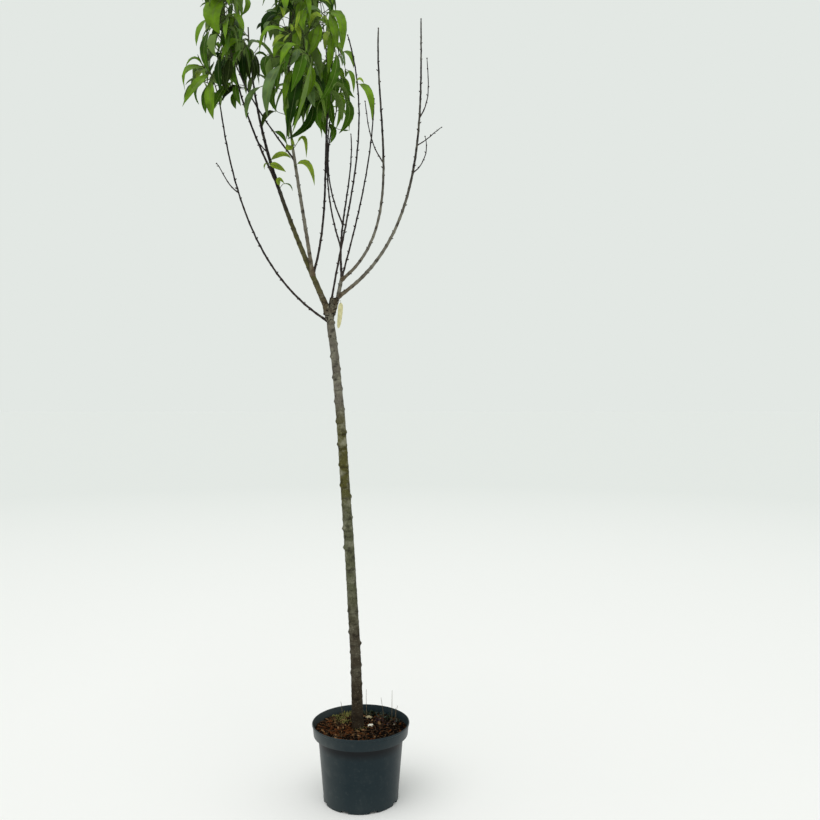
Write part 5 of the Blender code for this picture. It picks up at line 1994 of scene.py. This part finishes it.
def leaf_materials(looks):
    """Finishes of the blades: upper tones, under sides and midribs and their darker painted-shade copies, in
    the order of their numbers.
    """
    def nearby(colour, gain):
        return tuple(min(1, value * gain) for value in colour)

    tops = [
        leaf_finish(f"leaf_{name}", nearby(tone, 0.66), nearby(tone, 1.30), 0.46, sheen)
        for name, tone, sheen in zip(TONES, [getattr(looks, name) for name in TONES], TONE_SHEENS)
    ]
    under = leaf_finish("leaf_under", nearby(looks.under, 0.9), nearby(looks.under, 1.1), 0.55)
    # Painted shade: darker copies of the under side and the midrib, for the deep and bronze blades
    under_painted_shade = leaf_finish("leaf_under_dark", nearby(looks.under, 0.5), nearby(looks.under, 0.65), 0.55)
    rib = plain_finish("leaf_rib", nearby(looks.rib, 0.9), nearby(looks.rib, 0.7), 0.5)
    rib_painted_shade = plain_finish("leaf_rib_dark", nearby(looks.rib, 0.3), nearby(looks.rib, 0.4), 0.5)
    return [*tops, under, under_painted_shade, rib, rib_painted_shade]


UNDER_LIGHT, UNDER_PAINTED_SHADE, RIB_LIGHT, RIB_PAINTED_SHADE = range(len(TONES), len(TONES) + 4)


def finishes_of(tone):
    """Finish number of each face of a blade of a tone."""
    # Deep and bronze blades take the painted-shade copies of the under side and the midrib
    dark = tone in (0, 4)
    table = {TOP: tone, UNDER: UNDER_PAINTED_SHADE if dark else UNDER_LIGHT, RIB: RIB_PAINTED_SHADE if dark else RIB_LIGHT}
    return np.array([table[kind] for kind in LEAF_KINDS])


def finish_foliage(name, foliage, materials, twig_material, slot):
    """Turn what grew into a piece of blades and a piece of twigs."""
    finishes = [finishes_of(tone) for tone in foliage.tones]
    blades = copies(f"{name}_blades", foliage.shapes, LEAF_FACES, finishes)
    coat(blades, *materials)
    smooth(blades, 60)
    dress(blades, slot, name)
    twigs = draw_tubes(f"{name}_twigs", foliage.twigs, 1)
    coat(twigs, twig_material)
    dress(twigs, "shoot_bark", name)
    return len(foliage.shapes)


# Operators

class PieceOperator:
    """What every operator here shares."""
    bl_options = {"REGISTER", "UNDO"}


class TREE_OT_pot(PieceOperator, bpy.types.Operator):
    """Model the nursery pot"""
    bl_idname = "nectarine.pot"
    bl_label = "Pot"

    def execute(self, context):
        build_pot(context.scene.nectarine_pot)
        return {"FINISHED"}


class TREE_OT_compost(PieceOperator, bpy.types.Operator):
    """Model the compost"""
    bl_idname = "nectarine.compost"
    bl_label = "Compost"

    def execute(self, context):
        build_compost(context.scene.nectarine_compost)
        return {"FINISHED"}


class TREE_OT_litter(PieceOperator, bpy.types.Operator):
    """Scatter chips, fibres, stalks, moss and weeds on the compost"""
    bl_idname = "nectarine.litter"
    bl_label = "Litter"

    def execute(self, context):
        build_litter(context.scene.nectarine_compost)
        return {"FINISHED"}


class TREE_OT_trunk(PieceOperator, bpy.types.Operator):
    """Model the trunk with its knobs, scars and pores"""
    bl_idname = "nectarine.trunk"
    bl_label = "Trunk"

    def execute(self, context):
        build_trunk(context.scene.nectarine_bark)
        build_tag()
        return {"FINISHED"}


class TREE_OT_limbs(PieceOperator, bpy.types.Operator):
    """Model the boughs and bare shoots"""
    bl_idname = "nectarine.limbs"
    bl_label = "Limbs"

    def execute(self, context):
        looks = context.scene.nectarine_bark
        shoot, scar, pale = looks.shoot[:], looks.scar[:], looks.lichen[:]
        kinds = {
            "olive_bark": (shade(78, 75, 36), looks.knuckle[:], 0.20),
            "grey_bark": (looks.grey[:], looks.knuckle[:], 0.35),
            "shoot_bark": (looks.old_shoot[:], looks.old_shoot[:], 0.08),
        }
        finishes = {
            name: bark_finish(name, shoot, old, oldest, scar, pale, 0.0006, share)
            for name, (old, oldest, share) in kinds.items()
        }
        for name in LIMBS:
            build_limb(name, finishes[limb_slot(name)])
        return {"FINISHED"}


class TREE_OT_buds(PieceOperator, bpy.types.Operator):
    """Put the buds on the limbs"""
    bl_idname = "nectarine.buds"
    bl_label = "Buds"

    def execute(self, context):
        looks = context.scene.nectarine_bark
        finish = plain_finish("bud", looks.scar[:], shade(64, 44, 38), 0.6)
        dress(build_buds(list(LIMBS), "limb_buds", finish), "shoot_bark")
        return {"FINISHED"}


class TREE_OT_leaves(PieceOperator, bpy.types.Operator):
    """Grow the masses of leaves and the tufts"""
    bl_idname = "nectarine.leaves"
    bl_label = "Leaves"

    def execute(self, context):
        looks = context.scene.nectarine_leaves
        materials = leaf_materials(looks)
        twig_material = plain_finish("twig", shade(64, 70, 30), shade(38, 34, 20), 0.6)
        standing = Standing()
        total = 0
        for name, tuft in TUFTS.items():
            foliage = Foliage(standing, None, TUFT_TONES, tuft.seed)
            grow_tuft(name, foliage)
            total += finish_foliage(name, foliage, materials, twig_material, "young_leaves")
        grown = {}
        for name, mass in MASSES.items():
            foliage = Foliage(standing, (mass.centre, mass.radii), MASS_TONES[name], mass.seed)
            grown[name] = (foliage, *grow_mass(name, foliage))
        for name, (foliage, corners, twigs) in grown.items():
            grow_fine(name, foliage, corners, twigs, looks.step)
            total += finish_foliage(name, foliage, materials, twig_material, "leaves")
        print(f"{total} leaves")
        return {"FINISHED"}


class TREE_OT_stage(PieceOperator, bpy.types.Operator):
    """Put up the floor, the soft lights and the camera"""
    bl_idname = "nectarine.stage"
    bl_label = "Stage"

    def execute(self, context):
        looks = context.scene.nectarine_stage
        deselect()
        bpy.ops.mesh.primitive_plane_add(size=60, location=(0, 0, -0.0002))
        floor = settle("floor")
        made = Finish("floor_paint", 0.9, 0.1)
        away = made.node("ShaderNodeVectorMath", {"Vector": made.coordinates}, operation="LENGTH")
        far = made.band(away.outputs["Value"], 1.2, 7.0)
        made.colour(made.mix(far, looks.floor[:], shade(226, 228, 226)))
        coat(floor, made.material)
        world = bpy.data.worlds.new("surroundings")
        context.scene.world = world
        world.use_nodes = True
        nodes = world.node_tree.nodes
        background = nodes["Background"]
        background.inputs["Color"].default_value = (*looks.sky, 1)
        seen = nodes.new("ShaderNodeLightPath").outputs["Is Camera Ray"]
        strength = nodes.new("ShaderNodeMapRange")
        strength.inputs["To Min"].default_value = looks.ambient
        world.node_tree.links.new(seen, strength.inputs["Value"])
        world.node_tree.links.new(strength.outputs["Result"], background.inputs["Strength"])
        for name, aim, spread, power in (
                ("key", (0.35, 0.55, -1.2), 60, looks.key), ("fill", (-0.8, 0.5, -0.5), 90, looks.key * 0.3)):
            deselect()
            bpy.ops.object.light_add(type="SUN", location=(0, 0, 3))
            light = bpy.context.object
            light.name = name
            light.data.angle = math.radians(spread)
            light.data.energy = power
            light.rotation_euler = Vector(aim).to_track_quat("-Z", "Y").to_euler()
        deselect()
        bpy.ops.object.camera_add(location=CAMERA_PLACE, rotation=(math.radians(90) - CAMERA_DIP, 0, 0))
        camera = bpy.context.object
        camera.data.sensor_width = SENSOR_WIDTH
        camera.data.lens = SENSOR_WIDTH * PICTURE_FOCUS / PICTURE_SIZE
        context.scene.camera = camera
        context.scene.view_settings.view_transform = "Standard"
        return {"FINISHED"}


class TREE_PT_panel(bpy.types.Panel):
    """Sidebar panel with the pieces and their settings"""
    bl_idname = "TREE_PT_panel"
    bl_label = "Nectarine Tree"
    bl_space_type = "VIEW_3D"
    bl_region_type = "UI"
    bl_category = "Nectarine Tree"

    def draw(self, context):
        """Lay out the settings and the buttons."""
        for name in GROUPS:
            box = self.layout.box()
            looks = getattr(context.scene, name)
            for key in looks.__annotations__:
                box.prop(looks, key)
        for operator in OPERATORS:
            self.layout.operator(operator.bl_idname)


GROUPS = {
    "nectarine_pot": PotLooks,
    "nectarine_compost": CompostLooks,
    "nectarine_bark": BarkLooks,
    "nectarine_leaves": LeafLooks,
    "nectarine_stage": StageLooks,
}
OPERATORS = (
    TREE_OT_pot, TREE_OT_compost, TREE_OT_litter, TREE_OT_trunk, TREE_OT_limbs, TREE_OT_buds,
    TREE_OT_leaves, TREE_OT_stage,
)


def register():
    """Register the settings, the operators and the panel."""
    for name, group in GROUPS.items():
        bpy.utils.register_class(group)
        setattr(bpy.types.Scene, name, bpy.props.PointerProperty(type=group))
    for kind in (*OPERATORS, TREE_PT_panel):
        bpy.utils.register_class(kind)


def unregister():
    """Take them all out again."""
    for kind in (TREE_PT_panel, *reversed(OPERATORS)):
        bpy.utils.unregister_class(kind)
    for name, group in GROUPS.items():
        delattr(bpy.types.Scene, name)
        bpy.utils.unregister_class(group)


def main():
    """Build every piece in order."""
    register()
    bpy.ops.nectarine.pot()
    bpy.ops.nectarine.compost()
    bpy.ops.nectarine.litter()
    bpy.ops.nectarine.trunk()
    bpy.ops.nectarine.limbs()
    bpy.ops.nectarine.buds()
    bpy.ops.nectarine.leaves()
    bpy.ops.nectarine.stage()
    deselect()


if __name__ == "__main__":
    main()
